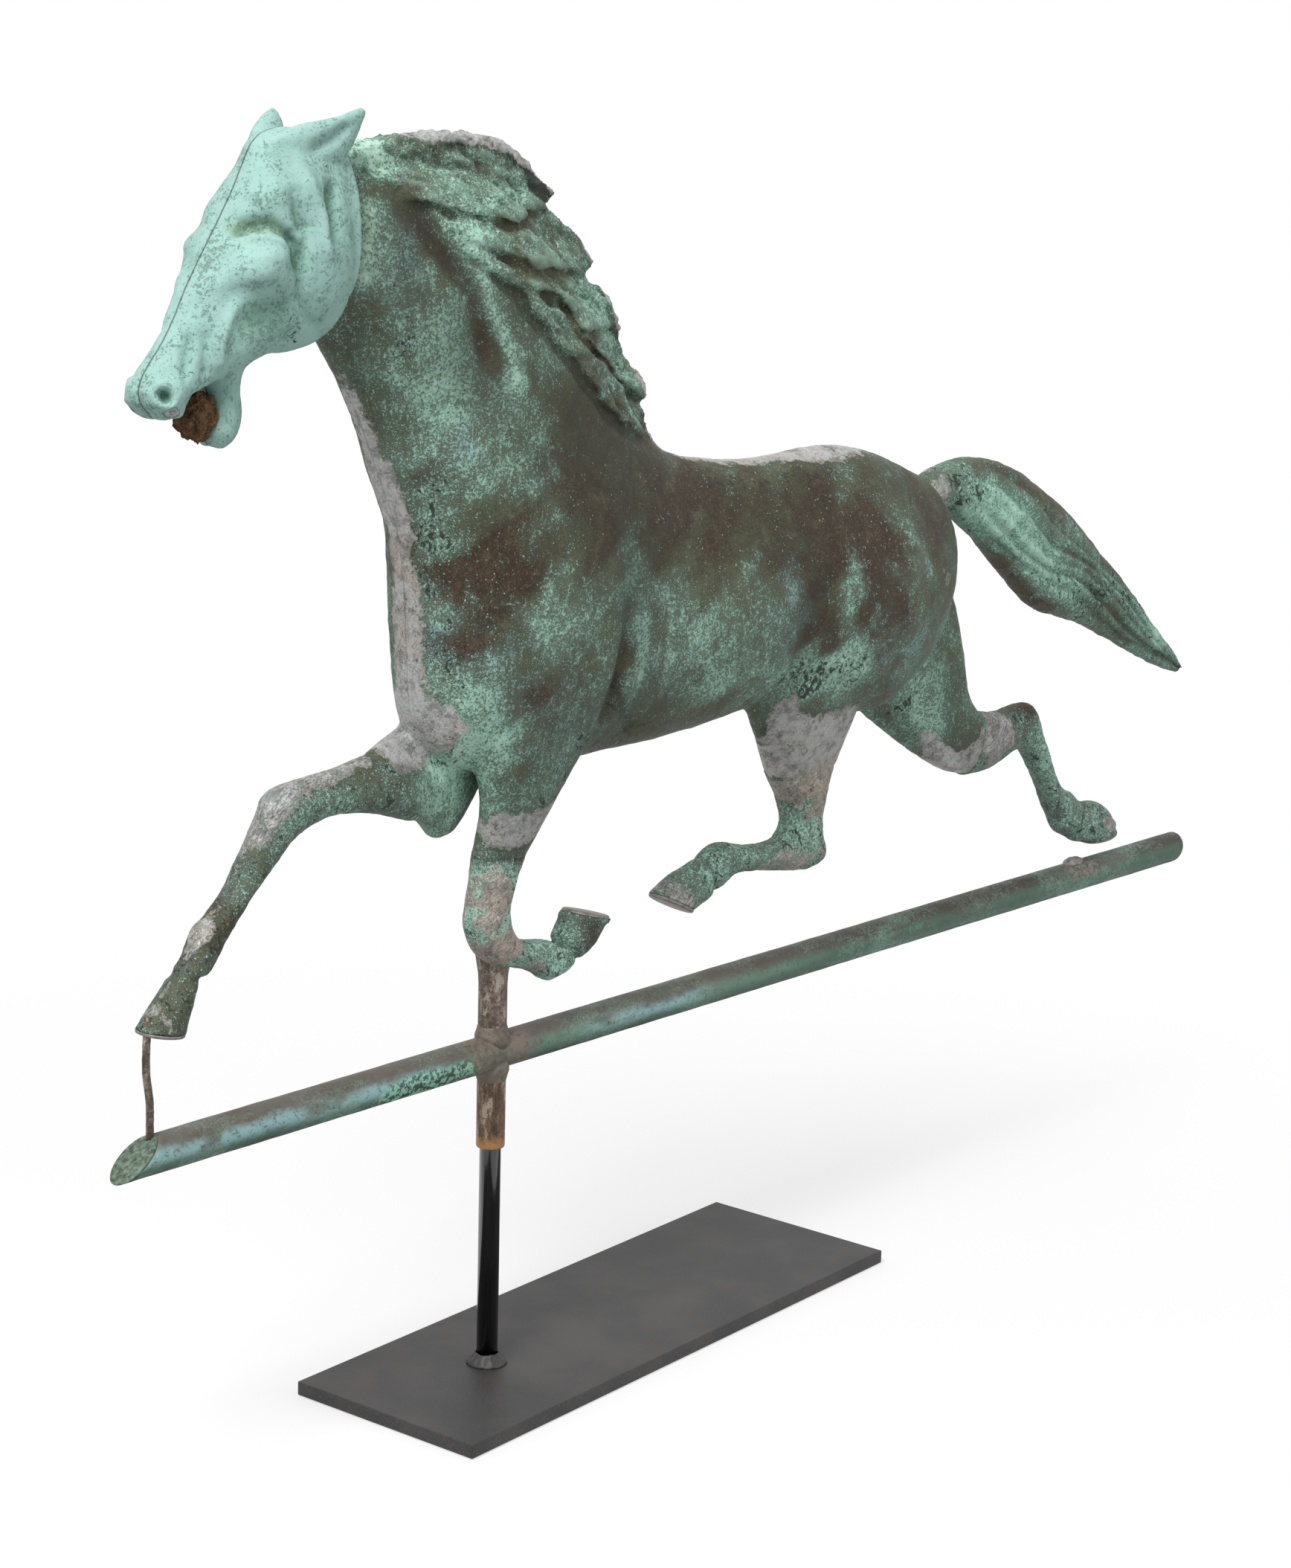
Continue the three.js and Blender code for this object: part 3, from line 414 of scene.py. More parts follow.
def turned(name, profile, segments=96):
    """Spins a radius-and-height profile, in millimetres, about the vertical axis."""
    bm = bmesh.new()
    start = bmesh.ops.create_circle(bm, segments=3, radius=MM)["verts"]
    bmesh.ops.delete(bm, geom=[start[2]], context="VERTS")
    line = [start[0], start[1]]
    for _ in profile[2:]:
        line.append(bmesh.ops.extrude_vert_indiv(bm, verts=[line[-1]])["verts"][0])
    for vert, (radius, height) in zip(line, profile):
        vert.co = Vector((radius, 0, height)) * MM
    bmesh.ops.spin(bm, geom=bm.verts[:] + bm.edges[:], cent=(0, 0, 0), axis=(0, 0, 1), angle=FULL_TURN,
                   steps=segments, use_merge=True)
    bmesh.ops.remove_doubles(bm, verts=bm.verts, dist=MM / 1000)
    bmesh.ops.recalc_face_normals(bm, faces=bm.faces)
    return piece_from(bm, name)


def coords(obj):
    co = np.empty(len(obj.data.vertices) * 3)
    obj.data.vertices.foreach_get("co", co)
    return co.reshape(-1, 3) / MM


def set_coords(obj, co):
    obj.data.vertices.foreach_set("co", (co * MM).ravel())
    obj.data.update()


def normals(obj):
    n = np.empty(len(obj.data.vertices) * 3)
    obj.data.vertex_normals.foreach_get("vector", n)
    return n.reshape(-1, 3)


def apply_modifiers(obj):
    depsgraph = bpy.context.evaluated_depsgraph_get()
    mesh = bpy.data.meshes.new_from_object(obj.evaluated_get(depsgraph))
    obj.modifiers.clear()
    old = obj.data
    obj.data = mesh
    bpy.data.meshes.remove(old)
    mesh.name = obj.name


def melded(name, parts, voxel):
    """Joins overlapping closed parts into one skin of even small faces."""
    bm = bmesh.new()
    for part in parts:
        bm.from_mesh(part.data)
        bpy.data.objects.remove(part)
    obj = piece_from(bm, name)
    remesh = obj.modifiers.new("meld", "REMESH")
    remesh.mode = "VOXEL"
    remesh.voxel_size = voxel * MM * 1
    apply_modifiers(obj)
    return obj


def soften(obj, times, where=None):
    """Moves each point toward its neighbours' middle, fully or by a weight for each point."""
    edges = np.empty(len(obj.data.edges) * 2, np.int64)
    obj.data.edges.foreach_get("vertices", edges)
    a, b = edges.reshape(-1, 2).T
    co = coords(obj)
    count = np.bincount(a, minlength=len(co)) + np.bincount(b, minlength=len(co))
    weight = 0.5 if where is None else 0.5 * where(co)[:, None]
    for _ in range(times):
        near = np.empty_like(co)
        for axis in range(3):
            total = np.bincount(a, co[b, axis], len(co)) + np.bincount(b, co[a, axis], len(co))
            near[:, axis] = total / count
        co = co + weight * (near - co)
    set_coords(obj, co)


def sharpen(obj, width):
    """Bevels the sharp edges by width millimetres."""
    bevel = obj.modifiers.new("edge", "BEVEL")
    bevel.affect = "EDGES"
    bevel.width = width * MM
    bevel.segments = 3
    bevel.profile = 0.5
    bevel.material = -1
    bevel.limit_method = "ANGLE"
    bevel.angle_limit = math.radians(30)


def to_line(x, z, points):
    """Distance from each x, z to a broken line, and how far along it the nearest place is."""
    best = np.full(x.shape, 1e9)
    share = np.zeros(x.shape)
    p = np.array(points, float)
    lengths = np.linalg.norm(np.diff(p, axis=0), axis=1)
    total = lengths.sum()
    run = 0.0
    for (x0, z0), (x1, z1), length in zip(p[:-1], p[1:], lengths):
        t = np.clip(((x - x0) * (x1 - x0) + (z - z0) * (z1 - z0)) / length ** 2, 0, 1)
        d = np.hypot(x - x0 - t * (x1 - x0), z - z0 - t * (z1 - z0))
        closer = d < best
        best[closer] = d[closer]
        share[closer] = (run + t[closer] * length) / total
        run += length
    return best, share


def stroke(x, z, points, width):
    """A soft line that tapers at both ends."""
    d, share = to_line(x, z, points)
    return np.exp(-(d / width) ** 2) * np.clip(np.minimum(share, 1 - share) * 5 + 0.25, 0, 1)


def ledge(x, z, points, width):
    """1 just above a broken line, fading with the height over it, and 0 below it."""
    d, _ = to_line(x, z, points)
    p = np.array(points, float)
    level = np.interp(x, p[:, 0], p[:, 1])
    inside = np.clip(np.minimum(x - p[0, 0], p[-1, 0] - x) / 8 + 0.5, 0, 1)
    above = np.clip((z - level) / 1.2, 0, 1)
    return above * np.exp(-d / width) * inside


def plateau(x, z, outline, edge):
    """1 inside an outline and 0 outside it, with a soft edge on the inside."""
    p = np.array(outline, float)
    inside = np.zeros(x.shape, bool)
    for (x0, z0), (x1, z1) in zip(p, np.roll(p, -1, axis=0)):
        if z0 == z1:
            continue
        crosses = (z0 > z) != (z1 > z)
        inside ^= crosses & (x < (x1 - x0) * (z - z0) / (z1 - z0) + x0)
    d, _ = to_line(x, z, list(outline) + [outline[0]])
    t = np.clip(d / edge, 0, 1)
    return np.where(inside, t * t * (3 - 2 * t), 0)


def blob(x, z, row):
    """A soft oval: row is its centre, its two radii and, where it is turned, its angle in degrees."""
    cx, cz, rx, rz = row[:4]
    turn = math.radians(row[4]) if len(row) > 4 else 0.0
    dx, dz = x - cx, z - cz
    u = dx * math.cos(turn) + dz * math.sin(turn)
    v = -dx * math.sin(turn) + dz * math.cos(turn)
    return np.exp(-(u / rx) ** 2 - (v / rz) ** 2)


def ragged(x, z, row):
    """A blob with an uneven outline, for paint."""
    reach = 0.3 * min(row[2:4])
    across = np.sin(z / 5.3 + x / 9.1) + 0.5 * np.sin(x / 2.9 + z / 3.7 + 1)
    down = np.sin(x / 6.7 - z / 8.9 + 2) + 0.5 * np.sin(z / 3.1 - x / 4.3)
    return blob(x + reach * across, z + reach * down, row)


def remember(obj, push):
    """Adds to the relief attribute, from which the copper paints shade into hollows and highlight onto
    ridges.
    """
    layer = obj.data.attributes.get("relief") or obj.data.attributes.new("relief", "FLOAT", "POINT")
    total = np.empty(len(push), np.float32)
    layer.data.foreach_get("value", total)
    layer.data.foreach_set("value", (total + push).astype(np.float32))


def carve(obj, mounds=(), lines=(), fade=4.0, side=0):
    """Lifts or sinks the surface by ovals and by ridges or grooves, on one side only if side is not 0."""
    co = coords(obj)
    x, y, z = co.T
    push = np.zeros(len(co))
    for height, row in mounds:
        push += height * blob(x, z, row)
    for height, width, points in lines:
        push += height * stroke(x, z, points, width)
    push *= np.clip((y * side if side else np.abs(y)) / fade, 0, 1)
    set_coords(obj, co + normals(obj) * push[:, None])
    remember(obj, push)


def roughen(obj, height, grain, seed, where=None, turn=0.0, long=1.0):
    """Small uneven dents along the normals, drawn out along a side-view direction if long is above 1."""
    co = coords(obj)
    weight = np.ones(len(co)) if where is None else where(co)
    touched = weight > 0.01
    along = co[:, 0] * math.cos(turn) + co[:, 2] * math.sin(turn)
    over = -co[:, 0] * math.sin(turn) + co[:, 2] * math.cos(turn)
    spots = np.c_[along / long, co[:, 1], over] / grain + np.array((17.3, 5.1, 9.7)) * seed
    lift = np.zeros(len(co))
    lift[touched] = [noise.fractal(Vector(c), 0.9, 2.1, 3) for c in spots[touched]]
    lift *= height * weight
    set_coords(obj, co + normals(obj) * lift[:, None])
    # Masked dents also go into the relief, which paints shade and highlight on them
    if where is not None:
        remember(obj, lift * 2.2)


def cut_copy(obj, at=0.0, keep=0):
    """A bmesh copy cut on the plane y = at, with the near side (-1), the far side (1) or both (0) kept.

    Its points remember the normals of the whole piece, so that the cut stays unseen."""
    bm = bmesh.new()
    bm.from_mesh(obj.data)
    layer = bm.verts.layers.float_vector.new("whole_normal")
    for vert in bm.verts:
        vert[layer] = vert.normal
    bmesh.ops.bisect_plane(bm, geom=bm.verts[:] + bm.edges[:] + bm.faces[:], plane_co=(0, at * MM, 0),
                           plane_no=(0, 1, 0), clear_outer=keep < 0, clear_inner=keep > 0)
    return bm


def halves(obj, name, at=0.0):
    """Cuts a piece on the plane y = at into its near and far halves."""
    made = [piece_from(cut_copy(obj, at, keep), name + side) for side, keep in (("_left", -1), ("_right", 1))]
    bpy.data.objects.remove(obj)
    return made


# One painted mask: its base value, soft ovals, tapering strokes, and ovals that fade to both sides.
# A patina holds the masks green, earth and solder, and a stain holds cold, ochre, black and joint.
Mask = namedtuple("Mask", "base blobs strokes bands", defaults=((), (), ()))


def paint_masks(obj, name, masks):
    """Stores up to four masks as the red, green, blue and alpha of one attribute."""
    co = coords(obj)
    x, y, z = co.T
    values = np.zeros((len(co), 4), np.float32)
    values[:, 3] = 1
    for index, mask in enumerate(masks):
        value = np.full(len(co), float(mask.base))
        for strength, row in mask.blobs:
            value += strength * ragged(x, z, row)
        for strength, width, points in mask.strokes:
            value += strength * stroke(x, z, points, width)
        for strength, width, row in mask.bands:
            value += strength * np.exp(-(y / width) ** 2) * blob(x, z, row)
        values[:, index] = np.clip(value, 0, 1)
    layer = obj.data.color_attributes.new(name, "FLOAT_COLOR", "POINT")
    layer.data.foreach_set("color", values.ravel())


def finish_piece(obj, material, body, slot, *nodes, smooth=True):
    """Gives a piece its material and puts it in the place of its CAD node."""
    obj.data.materials.clear()
    obj.data.materials.append(material)
    obj.data.polygons.foreach_set("use_smooth", [smooth] * len(obj.data.polygons))
    obj.data.update()
    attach(obj, body)
    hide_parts(*nodes)


def finish_copper(obj, material, slot, node, patina, stain):
    paint_masks(obj, "patina", patina)
    paint_masks(obj, "stain", stain)
    finish_piece(obj, material, "vane", slot, node)


# finishes
class Copper(Finish):
    """Sheet copper: the painted masks and the noises that its layers share."""

    def __init__(self, name):
        super().__init__(name)
        self.green, self.earth, self.solder, _ = self.painted("patina")
        self.cold, self.ochre, self.black, self.joint = self.painted("stain")
        self.relief = self.add("ShaderNodeAttribute", {"attribute_name": "relief"}, out="Fac") / 3.0
        self.broad = self.cloud(38, detail=3)
        self.medium = self.cloud(10, detail=7, rough=0.62, warp=0.5)
        self.small = self.cloud(2.3, detail=6, rough=0.68, warp=0.4)
        self.fine = self.cloud(0.62, detail=3, rough=0.7)
        self.grit = self.cloud(1.15, detail=5, rough=0.75)
        streak = self.cloud(1, detail=5, rough=0.6, where=self.stretched(0.35, 0.35, 0.045))
        self.cover = (self.green + (self.medium - 0.5) * 1.1 + (self.broad - 0.5) * 0.7 + (streak - 0.5) * 0.4
                      - (-self.relief).step(0.2, 1.5) * 0.15)

    def bare_skin(self, olive, brown):
        """The dark skin under the verdigris, olive or brown by the painted earth."""
        medium, small, fine = self.medium, self.small, self.fine
        rust = (self.earth + (medium - 0.5) * 0.9 + (small - 0.5) * 0.7).step(0.3, 0.8)
        mottle = medium * 0.5 + small * 0.5
        base = self.mix(rust, olive, brown)
        base = self.mix(mottle.step(0.47, 0.58) * 0.7, base, self.mix(rust, "2F3226", "2C2118"))
        base = self.mix(mottle.step(0.48, 0.38) * 0.4, base, self.mix(rust, "6F7460", "74604E"))
        base = self.mix(self.grit.step(0.47, 0.6) * 0.55, base, "211F18")
        worn = (fine * 0.6 + small * 0.4).step(0.5, 0.58)
        base = self.mix(worn * 0.45, base, self.mix(rust, "7D8064", "756650"))
        return self.mix((self.ochre + (small - 0.5) * 0.9).step(0.55, 1.0) * 0.7, base, "80583A")

    def crust(self, light, middle, blue, olive, tint_and_shade):
        """The verdigris itself, from middle to light, with blue and ochre clouds and, on the head, an olive
        wash of even tint with painted shade and painted highlight.
        """
        medium = self.medium
        crust = self.mix((self.grit * 0.6 + self.fine * 0.4).step(0.4, 0.6), middle, light)
        crust = self.mix((self.cold + (medium - 0.5) * 0.9).step(0.3, 0.9) * 0.75, crust, blue)
        crust = self.mix((self.ochre + (medium - 0.5) * 0.8).step(0.35, 0.9) * 0.45, crust, "A3B68C")
        if tint_and_shade:
            crust = self.mix((self.earth + (medium - 0.5) * 0.5).step(0.1, 0.9) * tint_and_shade, crust, olive)
        return crust

    def filed_solder(self, grey, middle):
        """Grey solder with file marks, dull and dark spots and some green on it."""
        medium, fine = self.medium, self.fine
        scuff = self.cloud(1, detail=6, rough=0.75, where=self.stretched(0.2, 0.8, 1.3, turn=0.6))
        dull = self.cloud(6, detail=6, rough=0.7)
        stained = self.cloud(4, detail=6, rough=0.75, warp=1)
        dark = self.cloud(3, detail=6, rough=0.75, warp=1.5) + (medium - 0.5) * 0.6
        metal = self.mix(scuff.step(0.4, 0.6) * 0.8, grey, "C3C2C0")
        metal = self.mix((self.earth + (medium - 0.5) * 1.2).step(0.2, 0.8) * 0.6, metal, "AD9A88")
        metal = self.mix(dull.step(0.5, 0.6) * 0.6, metal, "6B6A68")
        metal = self.mix(stained.step(0.53, 0.6) * 0.5, metal, middle)
        metal = self.mix(dark.step(0.6, 0.65) * 0.7, metal, "3F3B34")
        metal = self.mix((fine * 0.5 + scuff * 0.5).step(0.53, 0.6) * 0.5, metal, "D2D0CB")
        return self.mix(fine.step(0.44, 0.34) * 0.35, metal, "4A4643")


def aged_copper(name, light, middle, blue="93B2B5", brown="2D1F11", olive="41432E", grey="9C9C9A",
                hollow_shade="23241A", pitted=1.0, ridge_highlight=0.25, tint_and_shade=0.0, seam_at=0.0, freckles=0.0, chalk=0.6,
                spread=1.0):
    """Dark copper skin, specks and sheets of verdigris, bare solder and black flakes, all set by paint, with
    painted shade in hollows and painted highlight on ridges.
    """
    f = Copper(name)
    medium, small, fine, grit, cover = f.medium, f.small, f.fine, f.grit, f.cover
    base = f.bare_skin(olive, brown)
    base = f.mix(cover.step(0.15, 0.85) * 0.48, base, f.mix(f.cold, middle, "72878A"))
    crust = f.crust(light, middle, blue, olive, tint_and_shade)
    specks = (cover + (fine - 0.5) * 2.0 + (grit - 0.5) * 1.2 + (small - 0.5) * 1.2).step(0.6, 0.76)
    sheet = (cover + (small - 0.5) * 1.8 + (grit - 0.5) * 0.8).step(0.72, 0.82)
    colour = f.mix(specks * 0.8, base, crust)
    colour = f.mix(sheet * 0.75, colour, crust)
    colour = f.mix(cover.step(0.9, 1.2) * sheet * 0.7, colour, light)
    colour = f.mix((cover + (small - 0.5) * 0.8).step(0.95, 1.25) * chalk, colour, "C8E6DA")
    pits = (grit + (fine - 0.5) * 0.6).step(0.4, 0.34) * (specks + sheet).clamp() * pitted
    colour = f.mix(pits * 0.75, colour, "2A352F")
    pale_dots = f.dots(1.5, 0.26, 0.08, 0.62, 0.7) * f.cloud(7, detail=3).step(0.44, 0.6)
    colour = f.mix(pale_dots * 0.8, colour, light)

    flake_shape = f.cloud(3.6, detail=6, rough=0.7, warp=1.2, where=f.stretched(1, 1, 0.7, turn=0.5))
    flakes = (f.black * 0.62 + (flake_shape - 0.5) * 2.0 + (medium - 0.5) * 0.5).step(0.44, 0.49)
    flakes = flakes * f.black.step(0.05, 0.25)
    colour = f.mix(flakes * 0.9, colour, "222A25")

    edge = f.solder + ((medium - 0.5) * 1.3 + (small - 0.5) * 0.8 + (f.broad - 0.5) * 0.4) * spread
    bare = edge.step(0.47, 0.53)
    rim = edge.step(0.42, 0.47) * (1 - bare)
    border = edge.step(0.28, 0.4) * (1 - edge.step(0.42, 0.47)) * (medium + (small - 0.5)).step(0.42, 0.55)
    colour = f.mix(border * 0.65, colour, "2B2C25")
    colour = f.mix(rim * 0.5, colour, "C4BCAD")
    colour = f.mix(bare, colour, f.filed_solder(grey, middle))

    dark_dots = f.dots(1.4, 0.26, 0.07, 0.5, 0.6) * f.cloud(12, detail=3).step(0.5, 0.62)
    colour = f.mix(dark_dots * freckles, colour, "33403A")
    # Painted shade in the relief's hollows and painted highlight on its ridges
    colour = f.mix((-f.relief).step(0.1, 1.3) * 0.55, colour, hollow_shade)
    colour = f.mix(f.relief.step(0.1, 1.3) * ridge_highlight, colour, light)
    seam = (0.8 - (f.y.size() - seam_at).size()).step(0.1, 0.6) * (1 - bare * 0.5) * f.joint
    colour = f.mix(seam * 0.7, colour, "332620")

    rough = 0.6 + specks * 0.22 - bare * 0.1 + (fine - 0.5) * 0.25
    height = specks * 0.3 + sheet * 0.5 + grit * 0.7 + fine * 0.25
    height = height - flakes * 1.2 + bare * 0.5 - seam * 0.6 - pits * 0.5
    normal = f.bump(height, 0.25, below=f.bump(medium, 0.5, 0.4))
    return f.close(f.surface(colour, rough.clamp(), bare * 0.3, normal, specular=0.3))


def plain_metal(name, dark, mid, spot, grain, roughness, bump=0.08):
    """Clouded metal, for bare solder and for the bar's scored caps."""
    f = Finish(name)
    cloud = f.cloud(grain, detail=6, rough=0.65)
    fine = f.cloud(grain / 7, detail=3, rough=0.6)
    colour = f.mix(cloud.step(0.35, 0.65), dark, mid)
    colour = f.mix((cloud * 0.5 + fine * 0.5).step(0.52, 0.62) * 0.35, colour, spot)
    normal = f.bump(cloud * 0.7 + fine * 0.5, bump)
    return f.close(f.surface(colour, (roughness + (fine - 0.5) * 0.3).clamp(), 0.3, normal))


def bar_metal():
    """Dark brown on top, a pale green and grey band along the flank and dark green below."""
    f = Finish("bar_metal")
    medium = f.cloud(9, detail=6, rough=0.6, where=f.stretched(0.45, 1, 1))
    small = f.cloud(2.2, detail=5, rough=0.65)
    fine = f.cloud(0.7, detail=3, rough=0.6)
    patch = f.cloud(30, detail=5, rough=0.6, where=f.stretched(0.6, 1, 1))
    level = (f.z - BAR_LEVEL) / BAR_RADIUS + (medium - 0.5) * 0.5 + (small - 0.5) * 0.5 + (patch - 0.5) * 0.5
    front_blue = ((f.x + 120).size() / 90 + (patch - 0.5) * 1.5).step(1.1, 0.7)
    middle_blue = ((f.x - 95).size() / 45).step(1.1, 0.6)
    band = f.mix((front_blue + middle_blue).clamp(), "5F7F6E", "86A9AA")
    band = f.mix(((f.x - 130) / 120 + (patch - 0.5) * 2).step(0.2, 0.9) * 0.85, band, "3F5A49")
    top = f.mix(((f.x - 120) / 150).clamp(), "5E5850", "3F3A31")
    colour = f.mix(level.step(-0.85, -0.45), "2B332B", "48695A")
    colour = f.mix(level.step(-0.5, 0.0), colour, band)
    colour = f.mix(level.step(0.1, 0.75), colour, top)
    pale = (fine + (small - 0.5) * 0.9 + (patch - 0.5) * 1.2).step(0.52, 0.66)
    colour = f.mix(pale * 0.55, colour, "87AE9C")
    brown = (patch + (medium - 0.5) * 0.9).step(0.5, 0.68) * level.step(-0.7, 0.3)
    colour = f.mix(brown * 0.6, colour, "4A4036")
    colour = f.mix((small + (fine - 0.5) * 0.8).step(0.58, 0.66) * 0.6, colour, "2A2824")
    fleck = ((f.x + 48).size() / 34 + (0.5 - medium) * 1.6 + (0.5 - small) * 1.2).step(0.75, 0.6)
    fleck = fleck * level.step(0.6, 0.1)
    colour = f.mix(fleck * 0.8, colour, f.mix(small.step(0.46, 0.54), "22291F", "8CC8B0"))
    round_stub = ((f.x - STUB_PLACE).size() / 15 + (0.5 - medium) * 1.5 + (0.5 - small)).step(0.9, 0.7)
    round_stub = round_stub * (f.z - 150).step(0, 4)
    colour = f.mix(round_stub * 0.5, colour, f.mix(small.step(0.45, 0.55), "5A514A", "8C807A"))
    near_mast = (1.0 - (f.x.size() / 26 + (medium - 0.5) * 1.4 + (small - 0.5))).step(0.0, 0.35)
    colour = f.mix(near_mast * 0.85, colour, f.mix((small + medium).step(0.75, 1.2), "51463D", "776C62"))
    normal = f.bump(small * 0.6 + fine * 0.4 + medium * 0.5, 0.25)
    return f.close(f.surface(colour, (0.6 + (fine - 0.5) * 0.3).clamp(), 0.2, normal))


def mast_metal():
    """Brown tube metal, greyer above the bar and ochre at the mast's foot."""
    f = Finish("mast_metal")
    long = f.cloud(1, detail=5, rough=0.6, where=f.stretched(0.25, 0.25, 0.05))
    small = f.cloud(2, detail=5, rough=0.65)
    grit = f.cloud(0.9, detail=4, rough=0.7)
    blot = f.cloud(5, detail=6, rough=0.65, where=f.stretched(1, 1, 0.4))
    colour = f.mix((small * 0.4 + long * 0.6).step(0.4, 0.6), "3C2C21", "765C44")
    above_bar = ((f.z - 158) / 6).clamp()
    colour = f.mix(above_bar * 0.6, colour, f.mix(small.step(0.4, 0.6), "4C453E", "867E77"))
    dark = (small * 0.3 + blot * 0.7 + (grit - 0.5) * 0.4).step(0.53, 0.58)
    colour = f.mix(dark * 0.75, colour, "2C241E")
    colour = f.mix((grit * 0.5 + long * 0.5 - (blot - 0.5)).step(0.55, 0.64) * 0.6, colour, "B9AFA2")
    foot = (1.0 - (f.z - MAST_FOOT) / 11 + (small - 0.5) * 0.9).step(0.3, 0.9)
    colour = f.mix(foot * 0.75, colour, "B07F4C")
    return f.close(f.surface(colour, (0.5 + (small - 0.5) * 0.4).clamp(), 0.3, f.bump(small, 0.15)))


def nest_earth():
    f = Finish("nest_earth")
    lump = f.cloud(2.6, detail=6, rough=0.75, warp=1)
    fine = f.cloud(0.6, detail=4, rough=0.7)
    colour = f.mix(lump.step(0.35, 0.65), "3A281C", "7F6243")
    colour = f.mix(fine.step(0.58, 0.7) * 0.7, colour, "B79C72")
    return f.close(f.surface(colour, 0.95, 0, f.bump(lump + fine * 0.6, 0.6), specular=0.2))


def rod_black():
    f = Finish("rod_black")
    fine = f.cloud(1.5, detail=3)
    colour = f.mix(fine.step(0.5, 0.75) * 0.35, "0E0D0D", "2A2826")
    gloss = (0.16 + (fine - 0.5) * 0.15).clamp()
    return f.close(f.surface(colour, gloss, 0.0, f.bump(fine, 0.02), specular=0.7, coat=0.3))


def plate_steel():
    f = Finish("plate_steel")
    fine = f.cloud(0.9, detail=4, rough=0.7)
    broad = f.cloud(35, detail=4)
    colour = f.mix(broad.step(0.35, 0.7), "353434", "444241")
    colour = f.mix(fine.step(0.52, 0.66) * 0.45, colour, "5E5C5A")
    colour = f.mix(fine.step(0.46, 0.36) * 0.5, colour, "1C1C1C")
    colour = f.mix((fine + (broad - 0.5) * 0.6).step(0.62, 0.74) * 0.35, colour, "5A4638")
    return f.close(f.surface(colour, (0.52 + (fine - 0.5) * 0.35).clamp(), 0.35, f.bump(fine, 0.06)))


# horse body
MANE = [
    (-92, 533), (-74, 524), (-60, 513), (-47, 501), (-32, 491), (-17, 482), (-11, 473), (15, 450),
    (41, 428), (74, 414), (95, 409), (90, 417), (88, 432), (72, 461), (56, 491), (30, 521), (4, 541),
    (-20, 549), (-67, 549), (-97, 544)]
LOCK_GROOVES = [
    [(14.7, 515), (-12, 509), (-29, 512), (-50, 516), (-70, 520)],
    [(41.6, 486.8), (33, 487), (-6, 492), (-25, 498), (-44, 505)],
    [(64, 458), (50, 462), (19, 465), (8, 479), (-12, 485)],
    [(80.5, 430.5), (69, 436), (33, 455), (19, 465)]]
NECK_FURROW = [(-68, 521), (-60, 504), (-41, 484), (-36, 467), (-34, 448)]
NECK_RIDGE = [(-50, 512), (-36, 497), (-34, 479), (-23, 456), (-18, 437)]
POLL_EDGE = [(-90, 524), (-92, 506), (-98, 486)]
# Mounds: height, and an oval's centre, radii and, if it is turned, its angle; lines: height, width and points
BODY_MOUNDS = [
    (2.6, (-18, 352, 34, 40)), (1.6, (-30, 300, 20, 24)), (-2.6, (52, 345, 12, 42)),
    (1.8, (105, 335, 46, 34)), (-1.0, (168, 330, 14, 42)), (3.0, (222, 335, 40, 40)),
    (-1.2, (250, 380, 22, 12)), (-1.8, (30, 420, 30, 14)), (-2.0, (-40, 455, 16, 24)),
    (1.8, (-50, 420, 22, 20)), (-1.2, (-72, 495, 8, 22)), (1.0, (140, 300, 40, 14))]
BODY_LINES = [
    (-2.0, 4.5, NECK_FURROW), (1.2, 5.5, NECK_RIDGE),
    (-1.8, 2.6, [(-47, 501), (-32, 491), (-17, 482), (-11, 473), (15, 450), (41, 428), (74, 412)]),
    (1.0, 2.5, [(-40, 523), (-15, 520), (20, 505)]), (1.0, 2.5, [(-20, 500), (20, 490), (42, 478)]),
    (1.0, 2.5, [(5, 480), (40, 470), (66, 447)]), (-0.8, 1.5, [(-10, 514), (14, 508), (34, 499)]),
    (-0.8, 1.5, [(10, 484), (34, 478), (54, 466)]), (-0.8, 1.5, [(28, 464), (52, 452), (72, 436)]),
    (-0.9, 1.6, [(-64, 531), (-40, 533), (-10, 533)]), (-0.8, 1.5, [(-60, 538), (-38, 540), (-14, 541)]),
    (-2.3, 2.8, [(47, 350), (43, 334), (39, 312), (36, 294)]),
    (-1.4, 2.5, [(39, 312), (50, 298), (60, 290)]), (1.6, 6.0, [(56, 350), (53, 325), (49, 305)]),
    (-0.8, 5.0, [(176, 345), (166, 325), (160, 300)])]
THIGH_CREASE = [
    (238, 268), (262, 267), (280, 276), (294, 287), (304, 299), (311, 314), (314, 332), (312, 352)]
ELBOW_MOUNDS = [(1.0, (-32, 254, 6, 6)), (3.2, (-30, 251, 3.4, 3.4)), (-1.8, (-44, 257, 7, 5))]
STUB_JOINTS = ((8, 288, 44, 20), (198, 288, 48, 20), (-34, 296, 22, 16))
NEAR_STUBS = ((-32, 60), (135, 238))
STUB_TOP = 300
MANE_HEIGHT = 2.2
LOCK_HEIGHT = 2.6
LOCK_HALF = 5.5


def lock(root, bend, tip, spread):
    """A lens-shaped tuft of the mane along a bent line."""
    root, bend, tip = (np.array(p, float) for p in (root, bend, tip))
    rings = []
    for t in np.arange(41) / 40:
        centre = (1 - t) ** 2 * root + 2 * t * (1 - t) * bend + t * t * tip
        along = (1 - t) * (bend - root) + t * (tip - bend)
        along = along / np.linalg.norm(along)
        swell = np.interp(t * (len(LOCK_SWELL) - 1), range(len(LOCK_SWELL)), LOCK_SWELL)
        reach = np.array([-along[1], along[0]]) * spread * swell / 2
        rings.append(section(centre + reach, centre - reach, LOCK_HALF * swell, 0, 24, 1.0))
    return tube_mesh("lock", rings)


